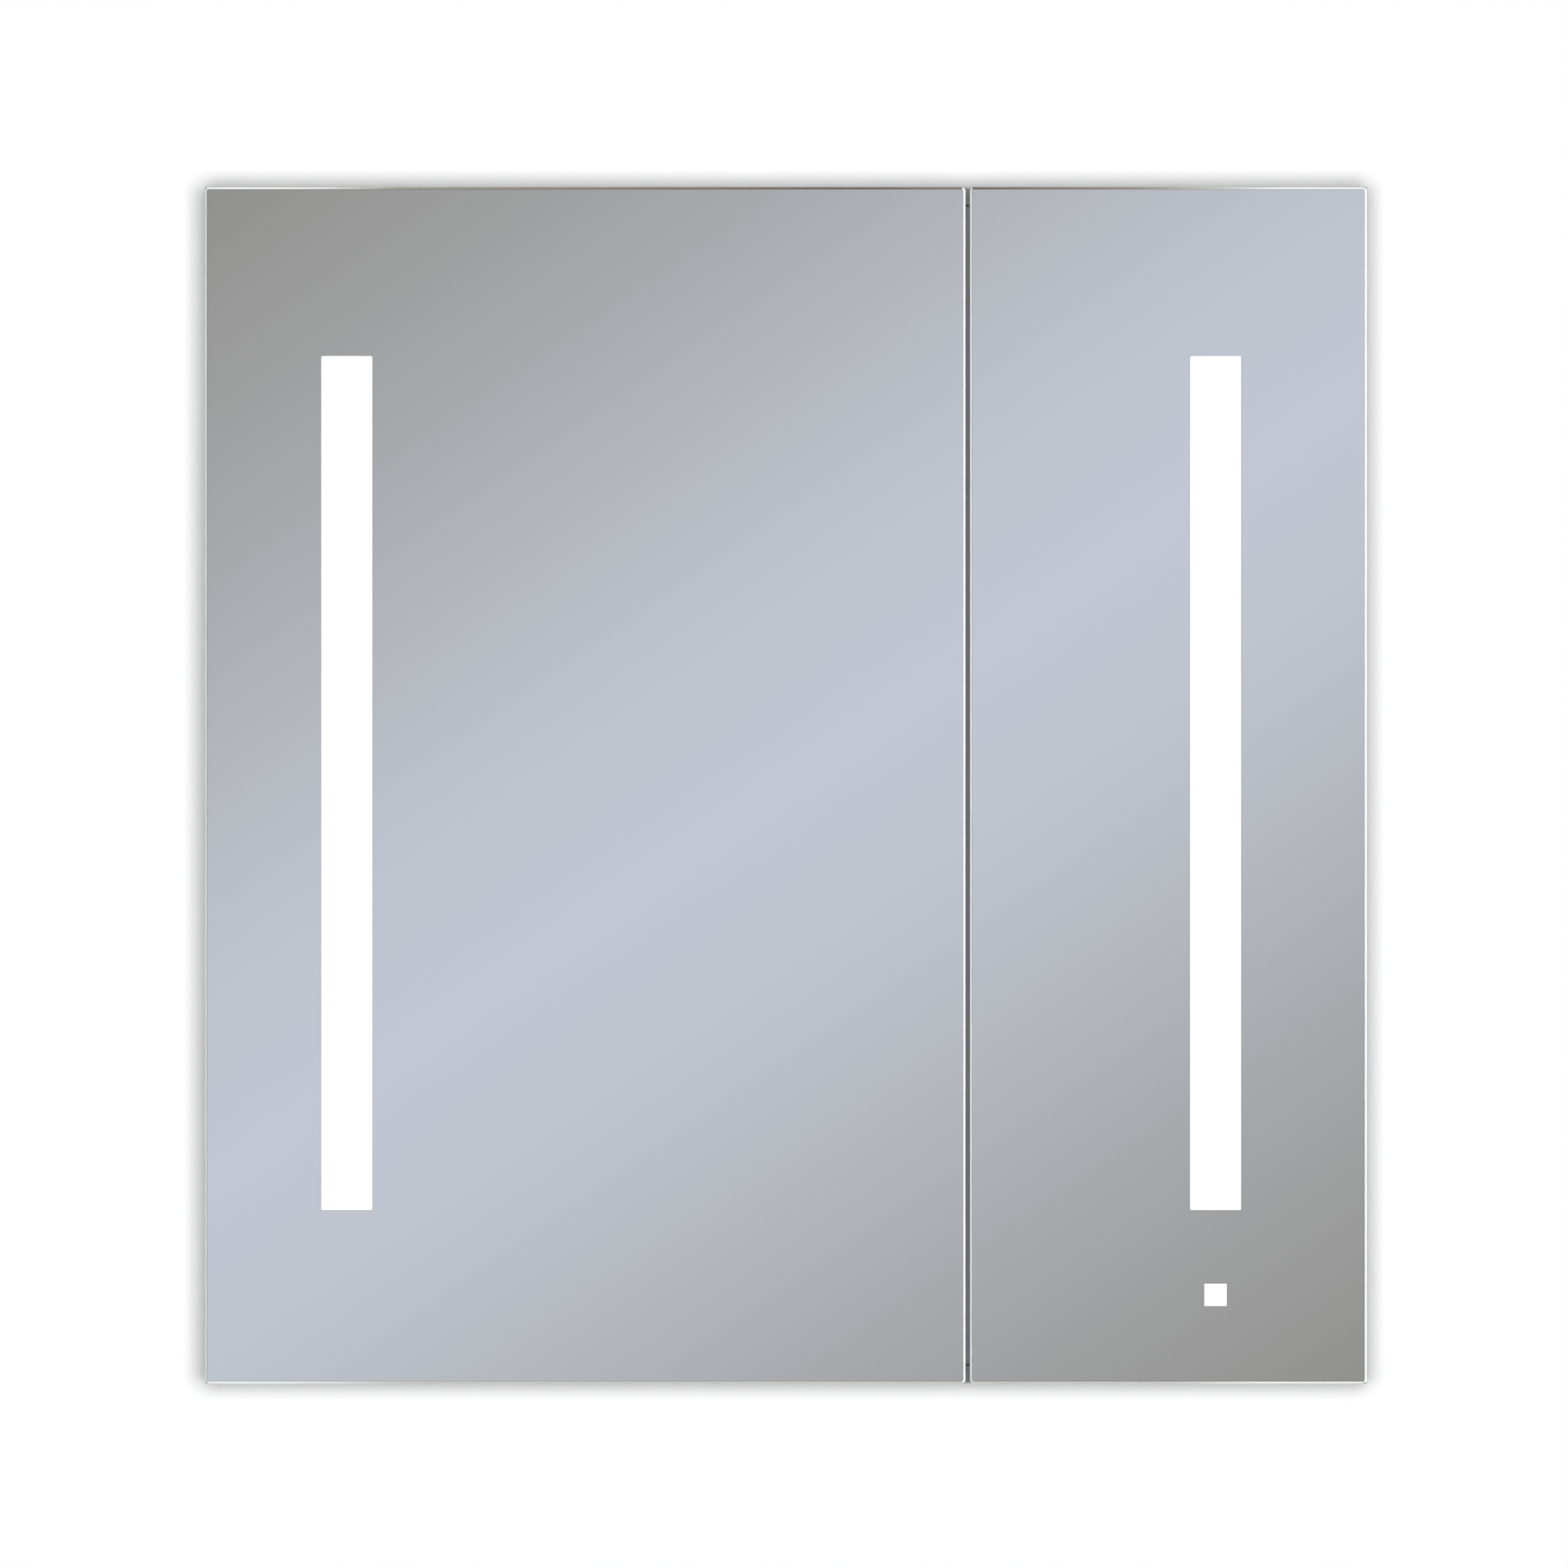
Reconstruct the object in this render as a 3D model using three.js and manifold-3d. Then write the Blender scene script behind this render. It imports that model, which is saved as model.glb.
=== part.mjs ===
// A wall-mounted medicine cabinet with two mirrored doors and a column of light in each door.
// Millimetres. X runs to the right, Y runs into the wall and Z runs up.
// The origin is the centre of the back panel's outer face, where the cabinet meets the wall.
import * as THREE from 'three';
import { mergeVertices } from 'three/addons/utils/BufferGeometryUtils.js';
import Module from 'manifold-3d';

const wasm = await Module();
wasm.setup();

// ---------------------------------------------------------------- driving dimensions
const WIDTH = 740; // of the box
const HEIGHT = 762; // of the box
const BODY_DEPTH = 96; // the box behind the doors
const DOOR_DEPTH = 20; // back of the door frame to the face of the mirror
const SHUT_GAP = 2; // between the box and a shut door, where the bumpers and the seal sit
const DOOR_SPLIT = 115.65; // X of the middle of the gap between the doors
const DOOR_SPACE = 3; // width of that gap
const REVEAL = 0.5; // of the box past the doors, all round
const WALL = 12; // thickness of the box's extruded sides, top, bottom and divider
const SHEET = 1.5; // aluminium sheet of the back panel and the driver cover
const GAP = 0.3; // bedding space between pieces that touch
const PAST = 1; // a cutter's reach past the face that it opens

const MIRROR = 5; // door mirror's thickness
const THIN_MIRROR = 3; // mirrors on the inside of the doors and on the cabinet's back
const ARRIS = 1.2; // ground corner of the mirror's edge
const CORNER = 2.5; // radius of the mirror's corners, seen from the front
const SHELF = 6; // shelf glass

const OPEN_EDGE = 0.5; // the door frame stands this far inside the mirror's edge
const HINGE_STILE = 46; // widths of the frame's members
const STILE = 24;
const REBATE = 6; // ledge that the inner mirror lies on
const HINGE_Z = 300; // height of the hinges above and below the middle

const BODY_X = WIDTH / 2; // half the box's width
const BODY_Z = HEIGHT / 2; // half the box's height
const DOOR_X = BODY_X - REVEAL; // outer edges of the doors
const DOOR_Z = BODY_Z - REVEAL; // top and bottom edges of the doors
const BAY_X = BODY_X - WALL; // inner faces of the sides
const BAY_Z = BODY_Z - WALL; // inner faces of the top and bottom
const DOOR_BACK = -(BODY_DEPTH + SHUT_GAP); // Y of the back of the door frames
const MIRROR_BACK = DOOR_BACK - DOOR_DEPTH + MIRROR; // Y of the back of the door mirrors
const FRAME_DEPTH = DOOR_BACK - MIRROR_BACK - GAP;

// Holds the edges of the back mirrors, which have some play at the groove's floor.
const GROOVE = { back: -9.7, depth: 4, width: 3.6, play: 1 };
const BACK_MIRROR_Y = GROOVE.back - GROOVE.width / 2;

// ---------------------------------------------------------------- materials
const finish = (color, roughness, metalness) =>
  new THREE.MeshStandardMaterial({ color, roughness, metalness });
const anodised = finish('#c3c6c9', 0.35, 1);
const silvered = finish('#c3c6d0', 0.03, 1);
const clearGlass = finish('#d5e6e0', 0.05, 0);
const nickel = finish('#b9b9b4', 0.25, 1);
const steel = finish('#8e9194', 0.3, 1);
const opal = finish('#fdfdff', 0.5, 0);
const whiteBoard = finish('#eef0ee', 0.5, 0);
const greenBoard = finish('#1e5a3c', 0.45, 0);
const whiteCase = finish('#e6e7e6', 0.45, 0);
const darkRubber = finish('#2c2d2f', 0.75, 0);

// ---------------------------------------------------------------- shapes
const outline = (points) => new THREE.Shape(points.map(([x, y]) => new THREE.Vector2(x, y)));

// A plate of the outline (x, y), standing from z0 to z1.
function upright(shape, z0, z1) {
  return new THREE.ExtrudeGeometry(shape, { depth: z1 - z0, bevelEnabled: false }).translate(0, 0, z0);
}

// The outline (x, z), from y0 back to y1.
function facing(shape, y0, y1) {
  return new THREE.ExtrudeGeometry(shape, { depth: y1 - y0, bevelEnabled: false })
    .rotateX(Math.PI / 2)
    .translate(0, y1, 0);
}

// The outline (y, z), from x0 to x1.
function lengthways(shape, x0, x1) {
  const turn = new THREE.Matrix4().set(0, 0, 1, 0, 1, 0, 0, 0, 0, 1, 0, 0, 0, 0, 0, 1);
  return new THREE.ExtrudeGeometry(shape, { depth: x1 - x0, bevelEnabled: false })
    .applyMatrix4(turn)
    .translate(x0, 0, 0);
}

function box([x0, x1], [y0, y1], [z0, z1]) {
  return new THREE.BoxGeometry(x1 - x0, y1 - y0, z1 - z0).translate(
    (x0 + x1) / 2,
    (y0 + y1) / 2,
    (z0 + z1) / 2,
  );
}

// A round bar along Z, between two heights.
function barZ(x, y, radius, z0, z1, sides = 16) {
  return new THREE.CylinderGeometry(radius, radius, z1 - z0, sides)
    .rotateX(Math.PI / 2)
    .translate(x, y, (z0 + z1) / 2);
}

// A round bar along Y.
function barY(x, z, radius, y0, y1, sides = 20) {
  return new THREE.CylinderGeometry(radius, radius, y1 - y0, sides).translate(x, (y0 + y1) / 2, z);
}

// A round bar along X.
function barX(y, z, radius, x0, x1, sides = 12) {
  return new THREE.CylinderGeometry(radius, radius, x1 - x0, sides)
    .rotateZ(Math.PI / 2)
    .translate((x0 + x1) / 2, y, z);
}

// ---------------------------------------------------------------- cutting and joining
function solid(geometry) {
  const bare = new THREE.BufferGeometry().setAttribute('position', geometry.getAttribute('position'));
  if (geometry.index) bare.setIndex(geometry.index);
  const merged = mergeVertices(bare, 1e-4);
  return new wasm.Manifold(
    new wasm.Mesh({
      numProp: 3,
      vertProperties: merged.attributes.position.array,
      triVerts: new Uint32Array(merged.index.array),
    }),
  );
}

function geometryOf(manifold) {
  const mesh = manifold.getMesh();
  return new THREE.BufferGeometry()
    .setAttribute('position', new THREE.BufferAttribute(mesh.vertProperties, 3))
    .setIndex(new THREE.BufferAttribute(mesh.triVerts, 1));
}

const cut = (geometry, tools) =>
  geometryOf(tools.reduce((left, tool) => left.subtract(solid(tool)), solid(geometry)));
const join = (first, ...more) =>
  geometryOf(more.reduce((whole, piece) => whole.add(solid(piece)), solid(first)));

function add(group, name, geometry, material) {
  const mesh = new THREE.Mesh(geometry, material);
  mesh.name = name;
  group.add(mesh);
  return mesh;
}

// ---------------------------------------------------------------- the box
const SHELF_HOLE = 2.5; // radius of a shelf pin's hole
const HOLE_DEPTH = 8;
const HOLE_Y = [-72, -30];
const SHELF_PITCH = 172;
const HOLE_PITCH = SHELF_PITCH / 4;
const LOWEST_SHELF = -191; // height of the pins of the lowest shelf
const HOLE_Z = Array.from({ length: 12 }, (_, i) => LOWEST_SHELF + (i - 1) * HOLE_PITCH);
const SHELF_Z = [0, 1, 2].map((i) => LOWEST_SHELF + i * SHELF_PITCH);
const FRONT_CHAMFER = 0.8;

const DIVIDER = [DOOR_SPLIT - WALL / 2, DOOR_SPLIT + WALL / 2];
const PANEL_BACK = -(SHEET + GAP); // Y where the extrusions end in front of the back panel

function shelfHoles(x0, x1) {
  return HOLE_Y.flatMap((y) => HOLE_Z.map((z) => barX(y, z, SHELF_HOLE, x0, x1)));
}

// side is -1 on the left and 1 on the right. The section has the mirror's groove in its inner face.
function sidePanel(side) {
  const [groove0, groove1] = [GROOVE.back - GROOVE.width, GROOVE.back];
  const section = [
    [BODY_X, -BODY_DEPTH + FRONT_CHAMFER],
    [BODY_X - FRONT_CHAMFER, -BODY_DEPTH],
    [BAY_X + FRONT_CHAMFER, -BODY_DEPTH],
    [BAY_X, -BODY_DEPTH + FRONT_CHAMFER],
    [BAY_X, groove0],
    [BAY_X + GROOVE.depth, groove0],
    [BAY_X + GROOVE.depth, groove1],
    [BAY_X, groove1],
    [BAY_X, PANEL_BACK],
    [BODY_X, PANEL_BACK],
  ].map(([x, y]) => [side * x, y]);
  const inner = [side * (BAY_X - PAST), side * (BAY_X + HOLE_DEPTH)].sort((a, b) => a - b);
  return cut(upright(outline(section), -BODY_Z, BODY_Z), shelfHoles(...inner));
}

// level is -1 for the bottom and 1 for the top.
function levelPanel(level) {
  const [groove0, groove1] = [GROOVE.back - GROOVE.width, GROOVE.back];
  const section = [
    [-BODY_DEPTH + FRONT_CHAMFER, BODY_Z],
    [-BODY_DEPTH, BODY_Z - FRONT_CHAMFER],
    [-BODY_DEPTH, BAY_Z + FRONT_CHAMFER],
    [-BODY_DEPTH + FRONT_CHAMFER, BAY_Z],
    [groove0, BAY_Z],
    [groove0, BAY_Z + GROOVE.depth],
    [groove1, BAY_Z + GROOVE.depth],
    [groove1, BAY_Z],
    [PANEL_BACK, BAY_Z],
    [PANEL_BACK, BODY_Z],
  ].map(([y, z]) => [y, level * z]);
  return lengthways(outline(section), -BAY_X + GAP, BAY_X - GAP);
}

function divider() {
  const [x0, x1] = DIVIDER;
  const blank = box([x0, x1], [-BODY_DEPTH, PANEL_BACK], [-BAY_Z + GAP, BAY_Z - GAP]);
  const grooves = [
    [x0 - PAST, x0 + GROOVE.depth],
    [x1 - GROOVE.depth, x1 + PAST],
  ].map((x) => box(x, [GROOVE.back - GROOVE.width, GROOVE.back], [-BAY_Z, BAY_Z]));
  return cut(blank, [...grooves, ...shelfHoles(x0 - PAST, x1 + PAST)]);
}

const KEYHOLE = { x: 290, z: 338, head: 8, slot: 4, rise: 14 };
const INLET = { x: -60, z: 343, radius: 11 };
const BUSHING = { bore: 6.5, lip: 2.5, reach: 4 }; // lip inside the sheet, and how far it stands out

// The cabinet hangs by two keyholes on screws in the wall.
function backPanel() {
  const { x, z, head, slot, rise } = KEYHOLE;
  const through = [-SHEET - PAST, PAST];
  const keyhole = (side) => [
    barY(side * x, z, head, ...through),
    box([side * x - slot, side * x + slot], through, [z, z + rise]),
    barY(side * x, z + rise, slot, ...through, 12),
  ];
  const sheet = box([-BODY_X, BODY_X], [-SHEET, 0], [-BODY_Z, BODY_Z]);
  return cut(sheet, [...keyhole(-1), ...keyhole(1), barY(INLET.x, INLET.z, INLET.radius, ...through)]);
}

// A rubber bushing snapped into the back panel, for the supply cable.
function inletBushing() {
  const { bore, lip, reach } = BUSHING;
  const outer = INLET.radius - GAP;
  const section = [
    [bore, -SHEET - reach],
    [outer + lip, -SHEET - reach],
    [outer + lip, -SHEET - GAP],
    [outer, -SHEET - GAP],
    [outer, -GAP],
    [bore, -GAP],
    [bore, -SHEET - reach],
  ].map(([radius, y]) => new THREE.Vector2(radius, y));
  return new THREE.LatheGeometry(section, 20).translate(INLET.x, 0, INLET.z);
}

const COVER = { z: 324, y: -62 }; // bottom and front of the driver cover

function driverCover() {
  const section = [
    [COVER.y, COVER.z],
    [PANEL_BACK, COVER.z],
    [PANEL_BACK, COVER.z + SHEET],
    [COVER.y + SHEET, COVER.z + SHEET],
    [COVER.y + SHEET, BAY_Z - GAP],
    [COVER.y, BAY_Z - GAP],
  ];
  return lengthways(outline(section), -BAY_X + GAP, DIVIDER[0] - GAP);
}

const DRIVER = { x: -160, length: 160, y: -34, depth: 42, height: 26, edge: 3 };

function ledDriver() {
  const { x, length, y, depth, height, edge } = DRIVER;
  const foot = COVER.z + SHEET + GAP;
  const section = [
    [y - depth / 2, foot],
    [y + depth / 2, foot],
    [y + depth / 2, foot + height - edge],
    [y + depth / 2 - edge, foot + height],
    [y - depth / 2 + edge, foot + height],
    [y - depth / 2, foot + height - edge],
  ];
  return lengthways(outline(section), x - length / 2, x + length / 2);
}

function backMirror(x0, x1, top) {
  const inGroove = GROOVE.depth - GROOVE.play;
  const bottom = -BAY_Z - inGroove;
  const y = [BACK_MIRROR_Y - THIN_MIRROR / 2, BACK_MIRROR_Y + THIN_MIRROR / 2];
  return box([x0 - inGroove, x1 + inGroove], y, [bottom, top]);
}

const SHELF_FRONT = -84;
const SHELF_BACK = -15;
const SHELF_SIDE_GAP = 1.5;

function shelf(x0, x1, pinZ) {
  const bottom = pinZ + SHELF_HOLE + GAP;
  return box([x0 + SHELF_SIDE_GAP, x1 - SHELF_SIDE_GAP], [SHELF_FRONT, SHELF_BACK], [bottom, bottom + SHELF]);
}

const CATCH = { wide: 13, deep: 16, high: 34, z: 60 };
const POLES = { proud: 1, deep: 4, near: 3, far: 2, end: 5 }; // set in from the case on each side
const STRIKE = { wide: 12, high: 26, thick: 1.2, clear: 0.5 };

// A magnetic catch on one side of the divider. Its case stands a millimetre back from the front of
// the box, and its poles are flush with it.
function magneticCatch(side) {
  const face = DOOR_SPLIT + side * (WALL / 2 + GAP);
  const across = (near, far) => [face + side * near, face + side * far].sort((a, b) => a - b);
  const { wide, deep, high, z } = CATCH;
  const tall = (inset) => [z - high / 2 + inset, z + high / 2 - inset];
  return join(
    box(across(0, wide), [-BODY_DEPTH + POLES.proud, -BODY_DEPTH + deep], tall(0)),
    box(across(POLES.near, wide - POLES.far), [-BODY_DEPTH, -BODY_DEPTH + POLES.deep], tall(POLES.end)),
  );
}

// The steel plate on the back of the door's free stile that the catch pulls on.
function strikePlate(side) {
  const { wide, high, thick, clear } = STRIKE;
  const near = DOOR_SPLIT + side * (WALL / 2 + GAP + clear);
  const across = [near, near + side * wide].sort((a, b) => a - b);
  return box(across, [DOOR_BACK + GAP, DOOR_BACK + GAP + thick], [CATCH.z - high / 2, CATCH.z + high / 2]);
}

const cabinet = new THREE.Group();
const bays = { wide: [-BAY_X, DIVIDER[0]], narrow: [DIVIDER[1], BAY_X] };

add(cabinet, 'left_side_panel', sidePanel(-1), anodised);
add(cabinet, 'right_side_panel', sidePanel(1), anodised);
add(cabinet, 'top_panel', levelPanel(1), anodised);
add(cabinet, 'bottom_panel', levelPanel(-1), anodised);
add(cabinet, 'centre_divider', divider(), anodised);
add(cabinet, 'back_panel', backPanel(), anodised);
add(cabinet, 'cable_inlet_bushing', inletBushing(), darkRubber);
add(cabinet, 'driver_cover', driverCover(), anodised);
add(cabinet, 'led_driver', ledDriver(), whiteCase);
add(cabinet, 'wide_back_mirror', backMirror(...bays.wide, COVER.z - GROOVE.play), silvered);
const narrowTop = BAY_Z + GROOVE.depth - GROOVE.play;
add(cabinet, 'narrow_back_mirror', backMirror(...bays.narrow, narrowTop), silvered);
for (const [bay, [x0, x1]] of Object.entries(bays)) {
  ['lower', 'middle', 'upper'].forEach((place, i) =>
    add(cabinet, `${bay}_${place}_shelf`, shelf(x0, x1, SHELF_Z[i]), clearGlass),
  );
}
for (const [door, side] of [['left', -1], ['right', 1]]) {
  add(cabinet, `${door}_door_catch`, magneticCatch(side), whiteCase);
}

// ---------------------------------------------------------------- the hinges
// Each hinge has one pin. Its arm is fixed inside the cabinet and hooks round the front edge of the
// side into a slot in the door. Hinge sections are drawn in (u, v): u runs from the side's inner
// face into the bay, and v runs from the front of the box towards the room.
const PIVOT = { u: -5.2, v: 9.5 };
const PIN = { radius: 2, half: 13 };
const EYE = { radius: 3.6, play: 0.5 };
const ARM_HALF = 5.5; // half the arm's height
const PLATE = { thick: 3, front: -14, back: -54, half: 9 }; // the strip that the arm is screwed to
const WING = { front: -24, back: -40, half: 23 }; // the part of the plate that is screwed to the side
const SLOT_HALF = 6.3; // half the height of the slot that the arm swings in
const SLOT_REACH = 15; // radius of that slot round the pin
const SLOT_FRONT = 13.6; // v of the slot's front wall
const SLOT_STEP = 6.5; // v of the step behind the pin, which closes the slot's outer end
const POCKET = { inner: 14, front: 15.5, half: 23 }; // the stile's cut-out for the hinge socket
const SOCKET_SET = 0.2; // how far the socket lies below the back of the stile
const STILE_CHAMFER = 3; // lets the hinge edge of the door swing past the box
const FRAME_EDGE = -(WALL - REVEAL - OPEN_EDGE); // u of the frame's hinge edge
const SLOT_WALL = PIVOT.u - EYE.radius - EYE.play; // u of the slot's outer wall

// Puts a (u, v) outline in the top view for one side of the cabinet.
const placed = (side, points) =>
  outline(points.map(([u, v]) => [side * (BAY_X - u), -BODY_DEPTH - v]));

const arc = (radius, from, to, steps) =>
  Array.from({ length: steps + 1 }, (_, i) => {
    const angle = from + ((to - from) * i) / steps;
    return [PIVOT.u + radius * Math.cos(angle), PIVOT.v + radius * Math.sin(angle)];
  });

const pinBar = (side, z, radius, half) =>
  barZ(side * (BAY_X - PIVOT.u), -BODY_DEPTH - PIVOT.v, radius, z - half, z + half);

// Its outline goes round the eye, over the front edge of the side, down the crank to the foot, and
// back along the side.
function hingeArm(side, z) {
  const eye = arc(EYE.radius, 1.1 * Math.PI, 0.5 * Math.PI, 6);
  const bridge = [[1.5, PIVOT.v + EYE.radius], [5, 11.2], [6.6, 7.5], [7.5, -8]];
  const foot = [[12, -15], [12, -44], [9, -50], [PLATE.thick + GAP, -50]];
  const inside = [[PLATE.thick + GAP, 4.5], [1, 6.6], [PIVOT.u + 2, PIVOT.v - EYE.radius + 0.8]];
  const hook = placed(side, [...eye, ...bridge, ...foot, ...inside]);
  const hole = pinBar(side, z, PIN.radius + GAP, ARM_HALF + PAST);
  return cut(upright(hook, z - ARM_HALF, z + ARM_HALF), [hole]);
}

function hingePlate(side, z) {
  const plate = ({ front, back, half }) => {
    const section = [[GAP, front], [PLATE.thick, front], [PLATE.thick, back], [GAP, back]];
    return upright(placed(side, section), z - half, z + half);
  };
  return join(plate(PLATE), plate(WING));
}

const hingePin = (side, z) => pinBar(side, z, PIN.radius, PIN.half);

// The room that the arm needs inside the socket as the door swings.
function armSlot(side, z) {
  const back = SHUT_GAP - PAST;
  const edge = FRAME_EDGE - PAST;
  const drop = Math.asin((back - PIVOT.v) / SLOT_REACH);
  const rise = Math.asin((SLOT_FRONT - PIVOT.v) / SLOT_REACH);
  const slot = [
    [edge, back],
    ...arc(SLOT_REACH, drop, rise, 6),
    [SLOT_WALL, SLOT_FRONT],
    [SLOT_WALL, SLOT_STEP],
    [edge, SLOT_STEP],
  ];
  return upright(placed(side, slot), z - SLOT_HALF, z + SLOT_HALF);
}

// The die-cast block that carries the pin. It fills the stile's pocket.
function hingeSocket(side, z) {
  const back = SHUT_GAP + SOCKET_SET;
  const front = POCKET.front - GAP;
  const half = POCKET.half - GAP;
  const block = [
    [FRAME_EDGE + GAP, SHUT_GAP + STILE_CHAMFER],
    [FRAME_EDGE + STILE_CHAMFER, back],
    [POCKET.inner - GAP, back],
    [POCKET.inner - GAP, front],
    [FRAME_EDGE + GAP, front],
  ];
  const pinHole = pinBar(side, z, PIN.radius + GAP, PIN.half + GAP);
  return cut(upright(placed(side, block), z - half, z + half), [armSlot(side, z), pinHole]);
}

function stilePocket(side, z) {
  const back = SHUT_GAP - PAST;
  const edge = FRAME_EDGE - PAST;
  const pocket = [[edge, back], [POCKET.inner, back], [POCKET.inner, POCKET.front], [edge, POCKET.front]];
  return upright(placed(side, pocket), z - POCKET.half, z + POCKET.half);
}

// ---------------------------------------------------------------- the doors
const WINDOW = { width: 32.5, length: 543.4, drop: 107.3 }; // frosted light window in the mirror
const CHANNEL = { side: 3.7, end: 7, wall: 1.5, back: 4, front: FRAME_DEPTH - GAP };
const SENSOR = { size: 14.3, rise: 56.4, guide: 2 }; // its window, and the light guide's depth
const SENSOR_BOARD = { size: 34, thick: 1.6 };
const LED_STRIP = { half: 6, thick: 1.6, end: 12 };
const DIFFUSER = 2.5; // thickness
const INNER_PLAY = 0.5; // between the inner mirror's edge and the frame
const LEAD = { radius: 2, z: 40, fall: 60 }; // the lead that crosses the hinge line

// The mirror: ground corners on all its edges, and small radii at its four corners.
function doorMirror(x0, x1) {
  const [halfX, halfZ, r] = [(x1 - x0) / 2, DOOR_Z, CORNER];
  const sheet = new THREE.Shape()
    .moveTo(-halfX + r, -halfZ)
    .lineTo(halfX - r, -halfZ)
    .absarc(halfX - r, -halfZ + r, r, -Math.PI / 2, 0)
    .lineTo(halfX, halfZ - r)
    .absarc(halfX - r, halfZ - r, r, 0, Math.PI / 2)
    .lineTo(-halfX + r, halfZ)
    .absarc(-halfX + r, halfZ - r, r, Math.PI / 2, Math.PI)
    .lineTo(-halfX, -halfZ + r)
    .absarc(-halfX + r, -halfZ + r, r, Math.PI, 1.5 * Math.PI);
  return new THREE.ExtrudeGeometry(sheet, {
    depth: MIRROR - 2 * ARRIS,
    bevelThickness: ARRIS,
    bevelSize: ARRIS,
    bevelOffset: -ARRIS,
    bevelSegments: 1,
    curveSegments: 4,
  })
    .rotateX(Math.PI / 2)
    .translate((x0 + x1) / 2, MIRROR_BACK - ARRIS, 0);
}

// A frame member's section, (across, depth): a bar with a ledge for the inner mirror.
const ledged = (width) => {
  const ledge = THIN_MIRROR + 2 * GAP;
  return [
    [0, 0],
    [width - REBATE, 0],
    [width - REBATE, ledge],
    [width, ledge],
    [width, FRAME_DEPTH],
    [0, FRAME_DEPTH],
  ];
};

// from is the X of the member's outer edge, and inwards is the way to the middle of the door.
const stile = (from, inwards, section) =>
  upright(
    outline(section.map(([a, b]) => [from + inwards * a, DOOR_BACK - b])),
    -DOOR_Z + OPEN_EDGE,
    DOOR_Z - OPEN_EDGE,
  );

function hingeStile(side) {
  const [, , ...rest] = ledged(HINGE_STILE);
  const section = [
    [0, STILE_CHAMFER],
    [STILE_CHAMFER, 0],
    [HINGE_STILE - REBATE, 0],
    ...rest,
  ];
  const bar = stile(side * (DOOR_X - OPEN_EDGE), -side, section);
  return cut(bar, [stilePocket(side, HINGE_Z), stilePocket(side, -HINGE_Z)]);
}

function rail(x0, x1, level) {
  const edge = DOOR_Z - OPEN_EDGE;
  const section = ledged(STILE).map(([a, b]) => [DOOR_BACK - b, level * (edge - a)]);
  return lengthways(outline(section), x0, x1);
}

// Fills one door group. side is the side of the hinges; x0 and x1 are the mirror's edges;
// windowX is the middle of its light window.
function door(group, name, side, x0, x1, windowX) {
  const inset = { hinge: OPEN_EDGE + HINGE_STILE, free: OPEN_EDGE + STILE };
  const [left, right] = side < 0 ? [inset.hinge, inset.free] : [inset.free, inset.hinge];
  const freeEdge = side < 0 ? x1 - OPEN_EDGE : x0 + OPEN_EDGE;
  const railEnds = [x0 + left + GAP, x1 - right - GAP];

  add(group, `${name}_door_mirror`, doorMirror(x0, x1), silvered);
  add(group, `${name}_hinge_stile`, hingeStile(side), anodised);
  add(group, `${name}_free_stile`, stile(freeEdge, side, ledged(STILE)), anodised);
  add(group, `${name}_top_rail`, rail(...railEnds, 1), anodised);
  add(group, `${name}_bottom_rail`, rail(...railEnds, -1), anodised);

  const seat = REBATE - INNER_PLAY;
  const railTop = DOOR_Z - OPEN_EDGE - STILE + seat;
  const innerMirror = box(
    [x0 + left - seat, x1 - right + seat],
    [DOOR_BACK - GAP - THIN_MIRROR, DOOR_BACK - GAP],
    [-railTop, railTop],
  );
  add(group, `${name}_inner_mirror`, innerMirror, silvered);

  // The light behind the window: a tray, a strip of LEDs on its floor and an opal plate at its mouth.
  const { width, length, drop } = WINDOW;
  const windowZ = DOOR_Z - drop - length / 2;
  const half = { x: width / 2 + CHANNEL.side, z: length / 2 + CHANNEL.end };
  const across = (inset) => [windowX - half.x + inset, windowX + half.x - inset];
  const along = (inset) => [windowZ - half.z + inset, windowZ + half.z - inset];
  const front = DOOR_BACK - CHANNEL.front;
  const floor = DOOR_BACK - CHANNEL.back - CHANNEL.wall;
  const hollow = box(across(CHANNEL.wall), [front - PAST, floor], along(CHANNEL.wall));
  const tray = cut(box(across(0), [front, DOOR_BACK - CHANNEL.back], along(0)), [hollow]);
  add(group, `${name}_light_channel`, tray, anodised);

  const stripX = [windowX - LED_STRIP.half, windowX + LED_STRIP.half];
  const stripY = [floor - GAP - LED_STRIP.thick, floor - GAP];
  add(group, `${name}_led_strip`, box(stripX, stripY, along(LED_STRIP.end)), whiteBoard);

  const inWall = CHANNEL.wall + GAP;
  const plateY = [front + GAP, front + GAP + DIFFUSER];
  add(group, `${name}_diffuser`, box(across(inWall), plateY, along(inWall)), opal);
}

// The touch switch behind its own small window, under the right-hand light.
function touchSensor(group, x) {
  const z = -DOOR_Z + SENSOR.rise;
  const square = (size) => [
    [x - size / 2, x + size / 2],
    [z - size / 2, z + size / 2],
  ];
  const face = MIRROR_BACK + GAP;
  const [guideX, guideZ] = square(SENSOR.size);
  add(group, 'touch_sensor_window', box(guideX, [face, face + SENSOR.guide], guideZ), opal);
  const { size, thick } = SENSOR_BOARD;
  const [boardX, boardZ] = square(size);
  const boardY = face + SENSOR.guide + GAP;
  add(group, 'touch_sensor_board', box(boardX, [boardY, boardY + thick], boardZ), greenBoard);
}

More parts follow.
